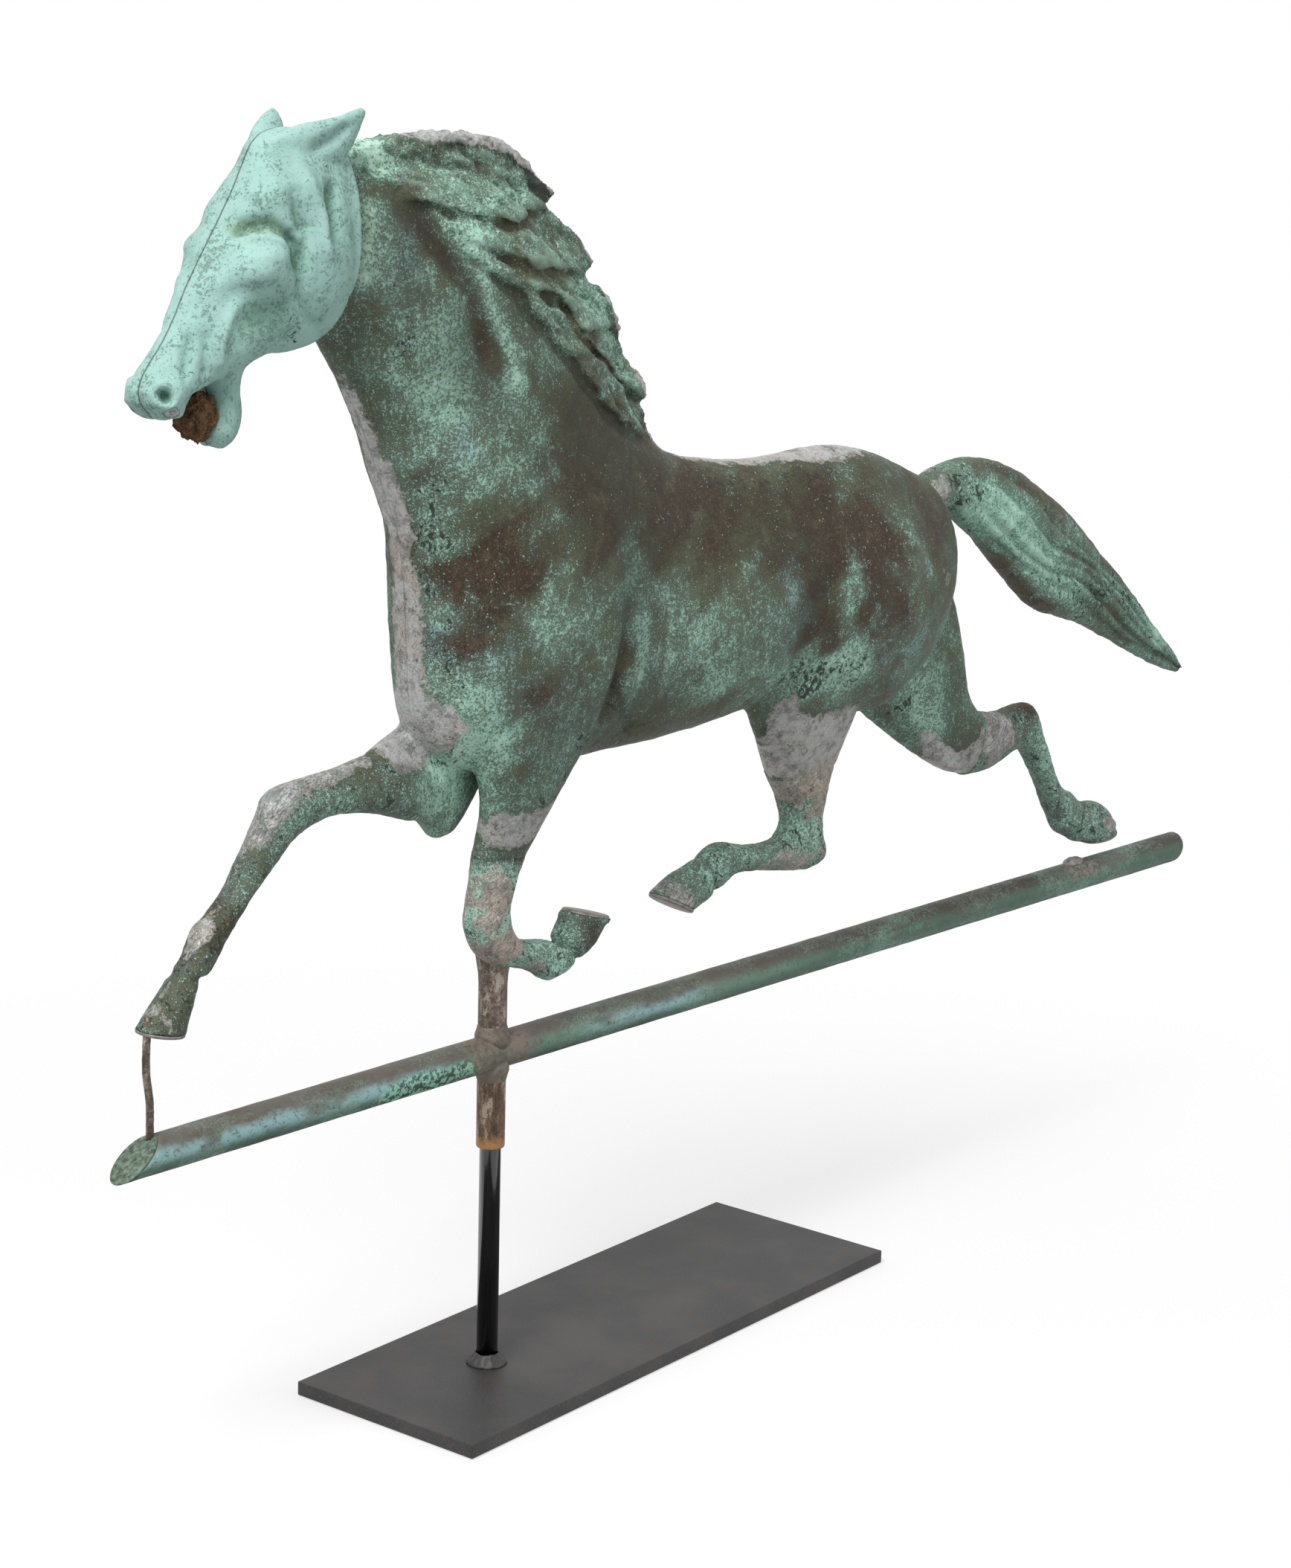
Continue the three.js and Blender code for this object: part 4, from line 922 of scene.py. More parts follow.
def body_form():
    parts = [form("trunk", TRUNK, 0, int(200 * DETAIL), 96, 1.0)]
    for rows, side in ((NEAR_FORE_UPPER, -1), (NEAR_HIND_UPPER, -1),
                       (FAR_FORE_UPPER, 1), (FAR_HIND_UPPER, 1)):
        parts.append(form("stub", rows, (16 * side, 4 * side), 60, 64, 0.9))
    crest = np.array(CREST, float)
    flat = [np.c_[crest[:, 0], np.full(len(crest), y), crest[:, 1]] for y in (4, -4)]
    parts.append(tube_mesh("crest", flat))
    parts += [lock(*row) for row in LOCKS]
    return melded("body", parts, 1.15)


def raise_mane(obj):
    """Lifts the mane off the neck, with a step where each lock lies on the next."""
    co = coords(obj)
    x, y, z = co.T
    facing = np.clip(np.abs(normals(obj)[:, 1]) * 1.3 - 0.1, 0, 1) * np.clip(np.abs(y) / 3, 0, 1)
    lift = MANE_HEIGHT * plateau(x, z, MANE, 4)
    for points in LOCK_GROOVES:
        lift += LOCK_HEIGHT * ledge(x, z, points[::-1], 10)
    co[:, 1] += np.where(y < 0, -1.0, 1.0) * facing * lift
    set_coords(obj, co)
    # The mane's height goes into the relief: the sides outside it get painted shade and the lock steps
    # painted highlight
    remember(obj, facing * (lift - MANE_HEIGHT))


def shape_body(obj):
    soften(obj, 2)
    soften(obj, 24, lambda co: np.clip(sum(blob(co[:, 0], co[:, 2], spot) for spot in STUB_JOINTS), 0, 1))
    raise_mane(obj)
    carve(obj, BODY_MOUNDS, [(-1.8, 2.0, groove) for groove in LOCK_GROOVES] + BODY_LINES)
    carve(obj, lines=[(-6.0, 2.6, THIGH_CREASE)], fade=0.5)
    carve(obj, ELBOW_MOUNDS, fade=0.5)
    soften(obj, 1)
    roughen(obj, 1.9, 4.2, 21, lambda co: plateau(co[:, 0], co[:, 2], MANE, 3), turn=-0.55, long=3.0)
    roughen(obj, 0.35, 16, 1)
    roughen(obj, 0.16, 5, 2)


BODY_PATINA = [
    Mask(0.47,
         blobs=[
             # The green at (-34, 268) is painted light on the downturned lower side of the far fore stub
             (0.7, (-84, 537, 12, 7)), (0.4, (-34, 268, 18, 20)), (-0.3, (-70, 517, 5, 12)),
             (-0.2, (100, 290, 60, 10)), (0.2, (-46, 425, 30, 30)), (0.35, (-76, 490, 14, 24)),
             (0.2, (-50, 470, 24, 30)), (0.2, (60, 345, 60, 26)), (0.25, (-56, 458, 15, 18)),
             (0.2, (-8, 420, 24, 26)), (0.3, (51, 365, 9, 34)), (0.15, (53, 325, 12, 22)),
             (0.3, (-47, 330, 14, 18)), (0.35, (-34, 292, 18, 14)), (0.2, (0, 345, 14, 18)),
             (0.3, (22, 285, 20, 10)), (0.2, (92, 328, 18, 22)), (0.25, (108, 306, 20, 14)),
             (0.25, (152, 340, 16, 26)), (0.35, (193, 341, 6, 24)), (1.0, (184, 299, 32, 13)),
             (0.3, (-56, 385, 8, 30)), (0.3, (246, 350, 14, 26)), (0.3, (10, 262, 22, 14)),
             (0.2, (-38, 500, 10, 22)), (0.3, (300, 270, 30, 22)), (-0.35, (-32, 372, 24, 22)),
             (-0.4, (25, 392, 30, 22)), (-0.45, (95, 380, 46, 22)), (-0.45, (176, 366, 36, 28)),
             (-0.2, (84, 352, 20, 16)), (-0.3, (176, 319, 14, 14)), (-0.2, (-6, 314, 9, 9)),
             (-0.2, (-42, 340, 12, 8)), (0.1, (60, 305, 70, 16)), (0.3, (-40, 300, 26, 20)),
             (0.2, (286, 300, 14, 34)), (0.3, (310, 250, 26, 14)), (-0.25, (89, 314, 12, 12)),
             (-0.25, (215, 360, 18, 26)), (-0.3, (222, 328, 18, 20)), (-0.35, (18, 430, 26, 22)),
             (-0.3, (50, 405, 24, 16)), (-0.35, (270, 362, 24, 34)), (-0.25, (130, 376, 30, 16)),
             (0.25, (-30, 525, 40, 14)), (0.25, (10, 505, 30, 14)), (0.25, (35, 470, 26, 20)),
             (0.25, (60, 440, 20, 20)), (-0.3, (-60, 411, 6, 6)), (-0.2, (42, 318, 6, 26))],
         strokes=[
             # The strokes that take green away under the locks paint shade where each lock lies on the next
             (-0.25, 5, NECK_FURROW), (-0.5, 3, [(-29, 512), (-12, 509), (14, 514)]),
             (-0.5, 3, [(-25, 498), (-6, 492), (33, 487)]), (-0.5, 3, [(8, 479), (19, 465), (50, 461)]),
             (-0.4, 3, [(19, 465), (33, 455), (69, 436)]), (0.35, 5, NECK_RIDGE), (0.5, 6, POLL_EDGE),
             (0.2, 2.5, [(52, 352), (55, 330), (54, 308)]),
             (0.2, 1.2, [(70, 345), (69, 318), (72, 300)])]),
    Mask(0.3,
         blobs=[
             (0.8, (200, 244, 36, 8)), (0.6, (-32, 372, 26, 20)), (0.5, (-45, 365, 10, 12)),
             (0.4, (5, 410, 24, 20)), (0.6, (92, 388, 40, 24)), (0.6, (176, 364, 30, 26)),
             (0.5, (176, 319, 14, 12)), (0.5, (-6, 314, 9, 9)), (0.5, (-42, 340, 12, 8)),
             (0.5, (89, 314, 11, 11)), (0.5, (215, 360, 20, 26)), (0.5, (222, 328, 18, 20)),
             (0.4, (60, 440, 26, 26)), (0.35, (268, 365, 22, 30)), (0.5, (-75, 501, 6, 10)),
             (0.5, (-61, 411, 6, 6)), (0.4, (44, 320, 5, 24)), (0.4, (30, 384, 18, 16))],
         strokes=[(0.5, 5, NECK_FURROW)]),
    Mask(0.0,
         blobs=[(0.6, (170, 284, 8, 12)), (0.5, (-73, 524, 5, 9)), (0.3, (268, 330, 16, 40))],
         strokes=[
             (0.85, 5, [(84, 420), (96, 410), (120, 404), (150, 401), (180, 400), (224, 401), (252, 396)]),
             (0.3, 7, [(185, 399), (210, 398), (235, 396)]),
             (1.0, 4.2, [(-64, 546), (-40, 546), (-20, 545), (-4, 541), (10, 533), (24, 522)]),
             (1.0, 4.0, [(24, 521), (40, 503), (50, 493), (62, 472), (69, 461), (79, 442), (86, 430),
                         (88, 416)]),
             (0.9, 12, [(-66, 304), (-50, 304), (-40, 306)]),
             (0.9, 13, [(164, 272), (185, 266), (232, 266)]),
             (1.0, 15, [(172, 248), (200, 246), (228, 248)]),
             (0.95, 9, [(-18, 256), (0, 255), (24, 257)]),
             (0.8, 10, [(330, 226), (350, 238), (352, 250)]),
             (0.8, 7, [(300, 250), (325, 232), (345, 224)]),
             (0.8, 7, [(-66, 300), (-50, 300), (-40, 304)]),
             (0.4, 14, [(290, 380), (304, 358), (308, 335)])],
         bands=[
             (1.0, 9, (-68, 400, 22, 36)), (1.0, 10, (-58, 330, 18, 46)), (0.8, 7, (-80, 450, 16, 24))])]
BODY_STAIN = [
    Mask(0.1,
         blobs=[
             (0.6, (-52, 425, 16, 16)), (0.5, (-45, 345, 14, 14)), (0.5, (170, 361, 30, 26)),
             (0.4, (-20, 330, 30, 16)), (0.4, (10, 300, 26, 22)), (0.4, (60, 340, 20, 30)),
             (0.4, (150, 330, 24, 26)), (0.6, (236, 302, 22, 20)), (0.5, (-76, 492, 10, 20)),
             (0.9, (-70, 520, 6, 12))]),
    Mask(0.05,
         blobs=[
             (0.8, (136, 287, 8, 6)), (0.8, (-48, 302, 5, 4)), (0.4, (-56, 458, 14, 18)),
             (0.4, (-38, 500, 12, 16)), (0.3, (-10, 430, 18, 20)), (0.5, (0, 300, 10, 8)),
             (0.7, (-84, 537, 12, 7))],
         strokes=[
             (0.6, 6, POLL_EDGE), (0.7, 4, [(60, 274), (100, 274), (140, 277)]),
             (0.5, 3, [(44, 330), (40, 312), (38, 300)])]),
    Mask(0.0,
         blobs=[
             (0.7, (290, 266, 16, 8)), (0.9, (12, 520, 8, 12)), (0.9, (56, 478, 5, 10)),
             (0.9, (60, 462, 4, 8)), (0.8, (184, 297, 40, 13)), (0.7, (-56, 385, 8, 30)),
             (0.6, (-46, 335, 10, 18)), (0.6, (-40, 290, 20, 12)), (0.5, (30, 282, 22, 10)),
             (0.5, (-76, 470, 8, 40)), (0.5, (60, 285, 22, 10)), (0.6, (10, 262, 22, 10))],
         strokes=[
             (0.7, 3.5, [(-60, 541), (-20, 542), (0, 535), (20, 519)]),
             (0.6, 4, [(100, 394), (160, 390), (210, 391)]),
             # The black along the thigh crease is painted shade where the near rump passes in front of the
             # far thigh
             (0.8, 2, [(280, 275), (294, 286), (304, 298), (311, 314), (314, 332)]),
             (0.7, 3, [(41, 330), (39, 312), (44, 298)]), (0.6, 3, [(36, 499), (46, 488)]),
             (0.6, 3, [(58, 468), (66, 456)])]),
    Mask(0.0, blobs=[(1.0, (-62, 360, 22, 60)), (0.8, (-80, 440, 16, 40))])]


def split_body(obj):
    """The near half keeps the near legs' stubs and the far half keeps the far ones."""
    rows = np.array(TRUNK, float)
    upper, lower = flowing(rows[:, 0:2], 80), flowing(rows[:, 2:4], 80)
    outline = [tuple(p) for p in upper] + [tuple(p) for p in lower[::-1]]
    made = []
    for name, keep in (("body_left", -1), ("body_right", 1)):
        bm = cut_copy(obj)
        middle = np.array([f.calc_center_median() for f in bm.faces]) / MM
        x, y, z = middle.T
        away, _ = to_line(x, z, outline)
        stub = (plateau(x, z, outline, 0.5) == 0) & (away > 1.5) & (z < STUB_TOP)
        near_stub = stub & np.logical_or.reduce([(x > low) & (x < high) for low, high in NEAR_STUBS])
        near = np.where(stub, near_stub, y < 0)
        gone = near if keep > 0 else ~near
        bmesh.ops.delete(bm, geom=[face for face, lost in zip(bm.faces, gone) if lost], context="FACES")
        made.append(piece_from(bm, name))
    bpy.data.objects.remove(obj)
    return made


def build_body(material):
    obj = body_form()
    shape_body(obj)
    for piece, node in zip(split_body(obj), ("body_left_shell", "body_right_shell")):
        finish_copper(piece, material, "verdigris_copper", node, BODY_PATINA, BODY_STAIN)


# head, ears and nest
HEAD_MOUNDS = [
    (3.4, (-117, 494, 13, 17)), (-3.4, (-137.5, 503, 4.2, 6)), (-3.2, (-154, 480, 9, 8)),
    (-2.0, (-142, 484, 8, 9)), (-1.6, (-103, 500, 4, 24)), (1.4, (-187, 453, 4, 5)),
    (1.6, (-160, 436, 6, 6)), (1.2, (-186, 446, 6, 3)), (-1.5, (-166, 498, 7, 4, 40))]
HEAD_LINES = [
    (3.6, 3.8, [(-127.5, 535), (-126.5, 528), (-124, 516), (-122.5, 499)]),
    (-3.0, 3.6, [(-136, 529), (-134, 519), (-131.5, 510)]),
    (-3.6, 3.4, [(-113, 531), (-115.5, 521), (-117.5, 512), (-121, 505)]),
    (-2.0, 2.6, [(-130, 512), (-135, 498), (-134, 488), (-128, 478), (-119, 472)]),
    (1.8, 3.6, [(-171, 490), (-160, 496), (-149, 495.5), (-140, 490)]),
    (2.4, 2.4, [(-160, 487), (-165, 478), (-168.5, 470), (-168.5, 459)]),
    (-1.6, 2.2, [(-173, 476), (-174.5, 466), (-174, 457)]),
    (-2.0, 1.9, [(-178, 475), (-181, 467), (-183.5, 458)]),
    (1.6, 1.4, [(-189.5, 455.5), (-192.5, 456), (-195, 453), (-194, 449.5), (-190.5, 448.5), (-188.5, 451)]),
    (-1.4, 1.2, [(-189, 446.5), (-178, 450.5), (-170, 452.5), (-160, 455)]),
    (1.2, 1.6, [(-188, 444.5), (-178, 448), (-170, 450)]),
    (-2.2, 3.0, [(-122, 541), (-112, 545), (-103, 551)])]
NOSTRIL = [(-4.5, (-192, 452.2, 1.9, 2.2))]
NEAR_EYE_MOUNDS = [
    (5.2, (-150, 501, 9, 6.5, 25)), (1.6, (-158, 497, 7, 6, 30)), (-1.5, (-134, 541, 9, 7))]
NEAR_EYE_LINES = [
    (1.4, 1.5, [(-160, 503), (-156, 508), (-149, 510), (-142, 508), (-138, 502)]),
    (-4.0, 2.8, [(-159, 509), (-153, 514), (-146, 515), (-139, 510), (-136, 503)]),
    (1.8, 4.5, [(-150, 523), (-141, 526), (-132, 524)])]
FAR_EYE_MOUNDS = [
    (5.0, (-152, 503, 7, 7)), (2.0, (-148, 518, 6, 6)), (-3.0, (-139, 536, 8, 8)),
    (-1.5, (-128, 541, 8, 6))]
JAW_CORNER = (-152, 462, 16, 8)
HEAD_PATINA = [
    # Less green at (-137, 501) is painted shade in the hollow behind the eye
    Mask(1.5, blobs=[(-0.5, (-137, 501, 4, 5)), (-0.3, (-189, 445, 5, 3))]),
    # The earth mask drives the olive wash: an even tint and a darker rear cheek and jaw, painted shade behind
    # the eye, left of the temple ridge and under the cheek, and painted highlight as less wash on the nose
    # bridge, crown, eye and temple ridge
    Mask(0.25,
         blobs=[
             (0.5, (-137, 501, 6, 8)), (0.35, (-112, 498, 14, 30)), (0.3, (-146, 478, 20, 10)),
             (0.25, (-128, 528, 8, 12)), (-0.3, (-172, 490, 12, 26, -40)), (-0.3, (-120, 546, 18, 7)),
             (-0.3, (-151, 502, 7, 5)), (-0.3, (-122, 518, 4, 12)), (0.3, (-160, 440, 10, 12)),
             (0.4, (-161, 453, 5, 3))]),
    Mask(0.0, blobs=[(0.6, (-189, 445, 5, 3))])]
HEAD_STAIN = [
    Mask(0.3, blobs=[(0.4, (-121, 497, 16, 18)), (0.3, (-174, 484, 12, 14)), (0.3, (-116, 548, 10, 8))]),
    Mask(0.1,
         blobs=[(1.0, (-131, 540, 2, 2)), (0.25, (-112, 515, 10, 22))],
         strokes=[(0.9, 3.5, [(-158, 509), (-152, 513), (-145, 514), (-139, 509)])]),
    Mask(0.04,
         blobs=[
             (0.35, (-139, 480, 5, 5)), (0.5, (-134, 472, 4, 4)), (0.2, (-140, 470, 14, 5)),
             (0.2, (-140, 532, 5, 3)), (0.2, (-185, 458, 8, 8)), (0.2, (-126, 522, 6, 8)),
             (0.25, (-115, 535, 6, 6)), (0.5, (-98, 557, 3, 3))]),
    Mask(1.0)]
NEST_CENTRE = Vector((-167.6, 0, 441.6))


def build_head(material):
    skull = form("skull", SKULL, 0, int(160 * DETAIL), 96, 0.8, lean=0.2)
    jaw = form("jaw", JAW, 0, 50, 64, 0.85)
    near = form("near_ear", NEAR_EAR, (-6, -17), 50, 48, 1.0)
    far = form("far_ear", FAR_EAR, (8, 15), 50, 48, 1.0)
    obj = melded("head", [skull, jaw, near, far], 0.72)
    soften(obj, 2)
    soften(obj, 14, lambda co: blob(co[:, 0], co[:, 2], JAW_CORNER))
    carve(obj, HEAD_MOUNDS, HEAD_LINES)
    carve(obj, NOSTRIL)
    carve(obj, NEAR_EYE_MOUNDS, NEAR_EYE_LINES, fade=10, side=-1)
    carve(obj, FAR_EYE_MOUNDS, fade=10, side=1)
    soften(obj, 1)
    roughen(obj, 0.22, 9, 5)
    roughen(obj, 0.1, 3, 6)
    for piece, node in zip(halves(obj, "head"), ("head_left_shell", "head_right_shell")):
        finish_copper(piece, material, "pale_verdigris", node, HEAD_PATINA, HEAD_STAIN)


def build_nest(material):
    """A lumpy egg of dried earth, 8.4 by 7.2 by 9.4 mm in its radii."""
    bm = bmesh.new()
    bmesh.ops.create_icosphere(bm, subdivisions=6, radius=1)
    for vert in bm.verts:
        way = vert.co.normalized()
        lumps = 1 + 0.2 * noise.fractal(way * 2.2, 0.8, 2.1, 5)
        vert.co = (Vector((way.x * 8.4, way.y * 7.2, way.z * 9.4)) * lumps + NEST_CENTRE) * MM
    finish_piece(piece_from(bm, "nest"), material, "vane", "earth_nest", "mouth_lump")


# tail and lower legs
TAIL_PATINA = [
    Mask(0.5,
         blobs=[(0.35, (325, 362, 22, 12)), (0.35, (492, 274, 30, 11))],
         strokes=[
             (0.5, 13, [(318, 366), (350, 352), (390, 322), (425, 303)]),
             (-0.35, 8, [(330, 384), (368, 373), (415, 347), (475, 302)]),
             (0.35, 5, [(400, 352), (440, 318), (480, 288), (520, 260)]),
             (-0.4, 5, [(344, 340), (380, 308), (412, 296)])]),
    Mask(0.15,
         strokes=[
             (0.3, 10, [(320, 384), (365, 374), (415, 348), (475, 302)]),
             (0.5, 6, [(345, 338), (390, 303), (434, 289)])]),
    Mask(0.0, blobs=[(0.7, (298, 366, 9, 16))])]
TAIL_STAIN = [
    Mask(0.1),
    Mask(0.1, strokes=[(0.5, 6, [(345, 338), (390, 303), (434, 289), (490, 264)])]),
    Mask(0.35, blobs=[(0.3, (440, 305, 40, 14)), (0.3, (314, 366, 12, 14))]),
    Mask(0.0)]
# How far down across the tail each groove runs, and how deep it is
TAIL_STRANDS = ((0.2, 2.0), (0.36, 2.8), (0.52, 2.0), (0.68, 2.8), (0.84, 2.0))


def build_tail(material):
    obj = form("tail", TAIL, 0, 240, 96, 0.9)
    strands = []
    for share, depth in TAIL_STRANDS:
        line = []
        for x0, z0, x1, z1, _ in TAIL[2:]:
            sway = share + 0.09 * math.sin(x0 / 21 + 5 * share)
            line.append((x0 * (1 - sway) + x1 * sway, z0 * (1 - sway) + z1 * sway))
        strands.append((-depth, 1.8, line))
    carve(obj, mounds=[(1.5, (360, 350, 20, 14)), (1.2, (500, 272, 8, 5))], lines=strands)
    soften(obj, 1)
    roughen(obj, 0.5, 8, 8)
    for piece, node in zip(halves(obj, "tail"), ("tail_left_shell", "tail_right_shell")):
        finish_copper(piece, material, "verdigris_copper", node, TAIL_PATINA, TAIL_STAIN)


LOWER_LEGS = {
    "near_fore": (NEAR_FORE_LOWER, -4), "near_hind": (NEAR_HIND_LOWER, -4),
    "far_fore": (FAR_FORE_LOWER, 4), "far_hind": (FAR_HIND_LOWER, 4)}
LEG_RELIEF = {
    "near_fore": (
        [(1.6, (28, 183, 5, 4)), (1.0, (-14, 214, 8, 7))],
        [(-2.0, 1.8, [(30, 199), (38, 193), (47, 184)]), (0.8, 1.6, [(40, 206), (68, 200)])]),
    "near_hind": (
        [(1.4, (146, 217, 6, 4)), (1.5, (216, 208, 6, 8)), (-1.0, (200, 226, 6, 10))],
        [(-1.8, 1.8, [(131, 218), (134, 208), (138, 198)])]),
    "far_fore": (
        [(1.4, (-164, 238, 5, 5)), (1.6, (-124, 284, 8, 6))],
        [(-1.8, 1.8, [(-176, 220), (-167, 218), (-160, 214)])]),
    "far_hind": (
        [(3.6, (402, 253, 4, 4)), (1.8, (436, 196, 6, 4)), (1.5, (434, 180, 5, 5)), (-1.2, (376, 238, 8, 8))],
        [(-2.0, 1.8, [(452, 192), (444, 184), (440, 172)]), (0.8, 1.6, [(477, 176), (458, 168)])])}
LEG_PATINA = {
    "near_fore": [
        Mask(0.92,
             blobs=[(0.2, (-4, 226, 12, 12)), (-0.9, (-4, 243, 24, 4)), (-0.75, (52, 197, 16, 11))]),
        Mask(0.3,
             blobs=[
                 (0.7, (-4, 243, 24, 5)), (0.8, (-4, 200, 16, 10)), (0.3, (52, 198, 14, 10)),
                 (0.5, (-13, 225, 6, 10))]),
        Mask(0.1, blobs=[(0.9, (-12, 226, 7, 11)), (1.0, (-6, 202, 18, 9)), (0.4, (20, 190, 10, 6))])],
    "near_hind": [
        Mask(0.7, blobs=[(0.2, (205, 224, 12, 12)), (0.2, (135, 208, 8, 8))]),
        Mask(0.2, blobs=[(0.5, (150, 214, 16, 8)), (0.7, (200, 238, 26, 14)), (0.5, (200, 204, 20, 8))]),
        Mask(0.15,
             blobs=[(0.9, (200, 242, 26, 12)), (0.4, (186, 206, 26, 6)), (0.6, (110, 203, 13, 10))])],
    "far_fore": [
        Mask(0.48, blobs=[(0.2, (-110, 278, 40, 8)), (-0.4, (-158, 240, 10, 10))]),
        Mask(0.25,
             blobs=[(0.4, (-150, 240, 10, 12))],
             strokes=[(0.6, 4, [(-60, 266), (-90, 268), (-118, 266)])]),
        Mask(0.1,
             blobs=[(0.35, (-188, 206, 6, 8))],
             strokes=[
                 (1.0, 7, [(-66, 300), (-90, 296), (-120, 292), (-136, 278), (-146, 262)]),
                 (0.5, 2.2, [(-150, 252), (-172, 228), (-192, 206)])])],
    "far_hind": [
        Mask(0.66, blobs=[(0.3, (404, 228, 10, 16)), (-0.5, (390, 252, 16, 6))]),
        Mask(0.3, blobs=[(0.4, (392, 252, 16, 8)), (0.4, (425, 190, 8, 12))]),
        Mask(0.08,
             blobs=[(0.9, (360, 240, 12, 22)), (0.5, (470, 178, 10, 6)), (0.3, (450, 188, 10, 5))],
             strokes=[(0.3, 4, [(396, 226), (410, 200), (424, 182)])])]}
LEG_STAIN = [Mask(0.4), Mask(0.15), Mask(0.42), Mask(0.0)]
LEG_OVERLAP = 2.5
# How far out from the hoof each ring of the sole lies, and how far in its edge is
SOLE_STEPS = ((0.3, 0.0), (0.7, 0.0), (1.2, 0.1), (1.6, 0.5), (1.8, 1.2))


def build_leg(name, material):
    rows, middle = LOWER_LEGS[name]
    first, second = np.array(rows[0], float), np.array(rows[1], float)
    gap = first[:4] - second[:4]
    back = gap / max(np.linalg.norm(gap[:2]), np.linalg.norm(gap[2:]))
    start = tuple(first[:4] + LEG_OVERLAP * back) + (rows[0][4],)
    obj = form(name, [start] + rows, middle, 160, 72, 0.9)
    carve(obj, *LEG_RELIEF[name], fade=0.1)
    roughen(obj, 0.35, 7, len(name))
    roughen(obj, 0.12, 2.5, len(name) + 3)
    for part, piece in zip(("left", "right"), halves(obj, name, middle)):
        node = f"{name}_leg_{part}_shell"
        finish_copper(piece, material, "verdigris_copper", node, LEG_PATINA[name], LEG_STAIN)


def build_sole(name, material):
    rows, middle = LOWER_LEGS[name]
    last, before = np.array(rows[-1], float), np.array(rows[-3], float)
    upper, lower = last[0:2], last[2:4]
    along = upper - lower
    outward = np.array([along[1], -along[0]]) / np.linalg.norm(along)
    if outward @ (lower - (before[0:2] + before[2:4]) / 2) < 0:
        outward = -outward
    rings = []
    for step, inset in SOLE_STEPS:
        shift = outward * step
        rings.append(section(upper + shift, lower + shift, last[4], middle, 72, 0.9, grow=-inset))
    finish_piece(tube_mesh(name + "_sole_cap", rings), material, "vane", "grey_solder", name + "_sole")


# mast, bar, struts and stand
def bar_ring(reach, slope, radius):
    """A ring round the bar's axis, tilted by the slope of the bar's end."""
    rise = radius * np.cos(angles(96))
    return np.c_[reach + slope * rise, radius * np.sin(angles(96)), BAR_LEVEL + rise]


def build_bar(metal, cap):
    rings = []
    for i in range(BAR_STEPS + 1):
        slope = FRONT_SLOPE + (REAR_SLOPE - FRONT_SLOPE) * i / BAR_STEPS
        rings.append(bar_ring(BAR_FRONT + BAR_LENGTH * i / BAR_STEPS, slope, BAR_RADIUS))
    tube = tube_mesh("cross_tube", rings)
    roughen(tube, 0.1, 12, 11)
    finish_piece(tube, metal, "vane", "brown_metal", "cross_bar")
    for name, node, face, slope, way in (("front_disc", "bar_front_cap", FRONT_FACE, FRONT_SLOPE, -1),
                                         ("rear_disc", "bar_rear_cap", REAR_FACE, REAR_SLOPE, 1)):
        rings = [bar_ring(face - way * depth, slope, radius) for depth, radius in CAP_RINGS]
        finish_piece(tube_mesh(name, rings), cap, "vane", "brown_metal", node)


def build_mast(metal):
    finish_piece(turned("mast", MAST_PROFILE), metal, "vane", "brown_metal", "mast_tube")
    finish_piece(turned("plug", PLUG_PROFILE, 48), metal, "vane", "brown_metal", "mast_plug")


def build_crossing(metal):
    """The solder where the mast passes the bar."""
    for name, node, way in (("upper_fillet", "crossing_solder_upper", 1),
                            ("lower_fillet", "crossing_solder_lower", -1)):
        brim = BAR_LEVEL + way * BAR_RADIUS
        piece = turned(name, [(radius, brim + way * rise) for radius, rise in FILLET_PROFILE])
        roughen(piece, 0.12, 3.5, 13)
        finish_piece(piece, metal, "vane", "grey_solder", node)


def build_strut(metal):
    line = flowing(STRUT_PATH, 40)
    turn = angles(24)[:, None]
    rings = []
    for i, point in enumerate(line):
        ahead = line[min(i + 1, 40)] - line[max(i - 1, 0)]
        ahead = ahead / np.linalg.norm(ahead)
        across = np.cross(ahead, (0, 1, 0))
        across = across / np.linalg.norm(across)
        up = np.cross(across, ahead)
        rings.append(point + STRUT_RADIUS * (np.cos(turn) * across + np.sin(turn) * up))
    strut = tube_mesh("strut", rings)
    roughen(strut, 0.12, 3, 14)
    finish_piece(strut, metal, "vane", "brown_metal", "front_strut")


def build_stub(metal):
    """What is left of the rear strut: a low drop of solder, longer along the bar."""
    stub = turned("stub_of_strut", STUB_PROFILE, 48)
    co = coords(stub)
    co[:, 0] = STUB_PLACE + 1.9 * co[:, 0]
    co[:, 2] = STUB_SEAT + 0.8 * (co[:, 2] - STUB_SEAT)
    set_coords(stub, co)
    roughen(stub, 0.5, 2.5, 15)
    finish_piece(stub, metal, "vane", "grey_solder", "rear_strut_stub")


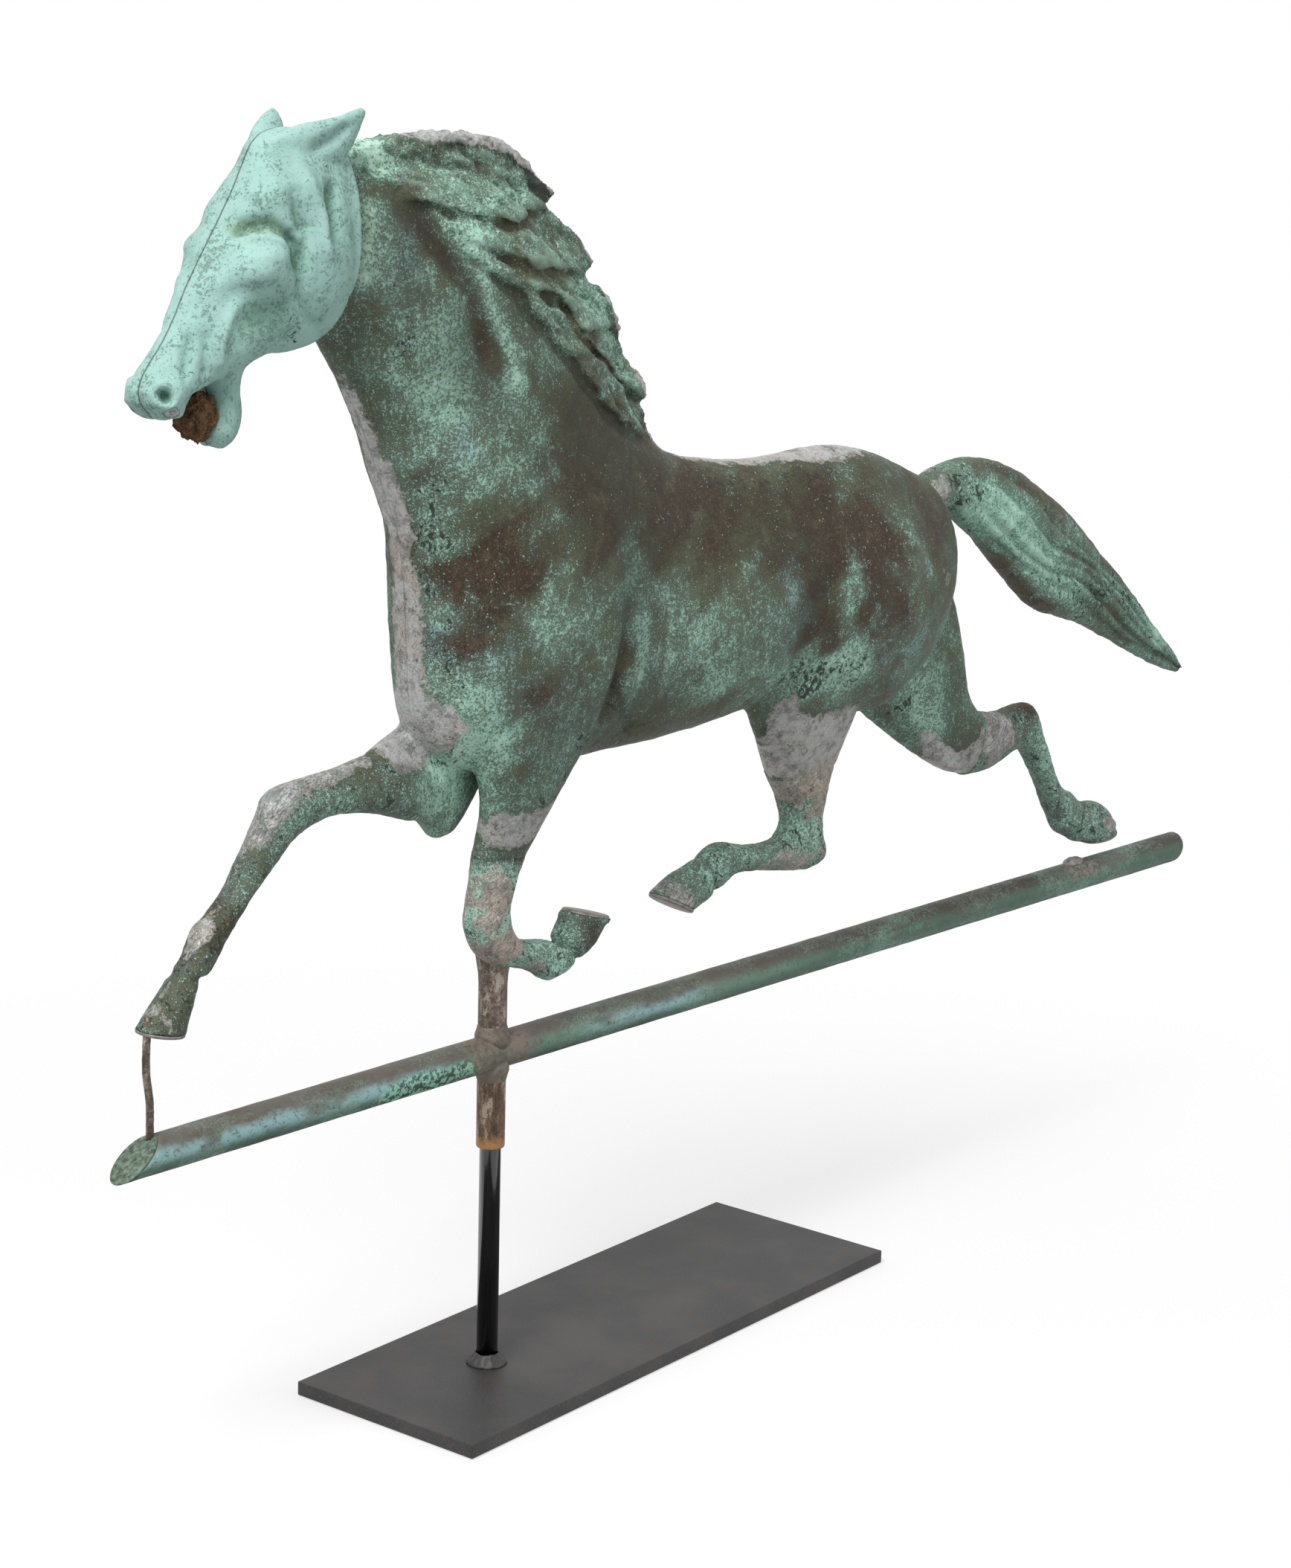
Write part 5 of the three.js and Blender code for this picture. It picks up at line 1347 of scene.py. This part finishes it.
def build_stand(black, steel):
    finish_piece(turned("rod", ROD_PROFILE), black, "stand", "black_rod", "stand_rod")
    bead = turned("bead", BEAD_PROFILE)
    roughen(bead, 0.5, 2.6, 16)
    finish_piece(bead, steel, "stand", "charcoal_plate", "rod_weld")
    long, wide, thick = PLATE_SIZE
    bm = bmesh.new()
    bmesh.ops.create_cube(bm, size=1)
    bmesh.ops.scale(bm, verts=bm.verts, vec=(long * MM, wide * MM, thick * MM))
    place = ((long / 2 - ROD_FROM_END) * MM, (wide / 2 - ROD_FROM_SIDE) * MM, thick / 2 * MM)
    bmesh.ops.translate(bm, verts=bm.verts, vec=place)
    bmesh.ops.rotate(bm, verts=bm.verts, cent=(0, 0, 0), matrix=Matrix.Rotation(PLATE_TURN, 3, "Z"))
    plate = piece_from(bm, "plate")
    sharpen(plate, 0.5)
    finish_piece(plate, steel, "stand", "charcoal_plate", "base_plate", smooth=False)


# studio
WORLD_LEVEL = 0.56
FLOOR_GREY = (0.42, 0.42, 0.42, 1)
FLOOR_PALE = (0.9, 0.9, 0.9, 1)
AIM = 0.3


def floor_finish():
    """White where it is seen, with the soft shadow kept, and grey for the light that it sends back."""
    f = Finish("floor_white")
    seen = f.seen()
    matt = f.surface(f.mix(seen, FLOOR_GREY, FLOOR_PALE), 0.9, specular=0.1)
    glow = f.add("ShaderNodeEmission", {}, {"Color": WHITE, "Strength": 1.0})
    reach = (f.x * f.x + f.y * f.y).root() / 1000
    far = (reach.step(0.22, 0.75) * 0.4 + 0.6) * seen
    return f.close(f.add("ShaderNodeMixShader", {}, {0: far, 1: matt, 2: glow}))


def build_studio():
    """A world that lights the object softly and is seen white, a pale floor and two soft lamps."""
    world = bpy.data.worlds.new("studio")
    bpy.context.scene.world = world
    kit = Kit(world)
    lit = kit.add("ShaderNodeBackground", {}, {"Color": WHITE, "Strength": WORLD_LEVEL})
    pale = kit.add("ShaderNodeBackground", {}, {"Color": WHITE, "Strength": 1.0})
    sky = kit.add("ShaderNodeMixShader", {}, {0: kit.seen(), 1: lit, 2: pale})
    kit.add("ShaderNodeOutputWorld", {}, {"Surface": sky})
    bm = bmesh.new()
    bmesh.ops.create_grid(bm, x_segments=1, y_segments=1, size=8)
    floor = piece_from(bm, "floor")
    floor.data.materials.append(floor_finish())
    floor.location = (0, 0, -0.0005)
    area_light("key", (-1.5, -0.5, 2.3), (0.05, 0, AIM), 1.1, 58)
    area_light("fill", (1.2, -2.2, 1.0), (0.1, 0, AIM), 1.6, 10)
    bpy.context.scene.view_settings.view_transform = "Standard"


def main():
    set_camera()
    build_studio()
    body = aged_copper("aged_copper", light="A8D4C0", middle="7A9584", grey="AEAFB0")
    head = aged_copper("pale_copper", light="9FC3BC", middle="8FB8AC", blue="9CBFC1", olive="6F9686",
                       brown="67594A", hollow_shade="486E5A", pitted=0.15, ridge_highlight=0.2, tint_and_shade=0.85, freckles=0.8,
                       chalk=0.0, spread=0.4)
    tail = aged_copper("tail_copper", light="A8D3C0", middle="7BA592", brown="4A3A2A", olive="474433",
                       ridge_highlight=0.1, chalk=0.35)
    limb = aged_copper("limb_copper", light="A8D2BE", middle="728F80", grey="787877", seam_at=4.0)
    solder = plain_metal("bare_solder", "6C6663", "8E8784", "A9A29E", grain=3, roughness=0.5)
    bar = bar_metal()
    mast = mast_metal()
    build_body(body)
    build_head(head)
    build_nest(nest_earth())
    build_tail(tail)
    for name in LOWER_LEGS:
        build_leg(name, limb)
        build_sole(name, solder)
    cap = plain_metal("scored_cap", "3B463A", "6B8270", "9FB38C", grain=2.5, roughness=0.6, bump=0.3)
    build_bar(bar, cap)
    build_mast(mast)
    build_crossing(bar)
    build_strut(mast)
    build_stub(solder)
    build_stand(rod_black(), plate_steel())


main()
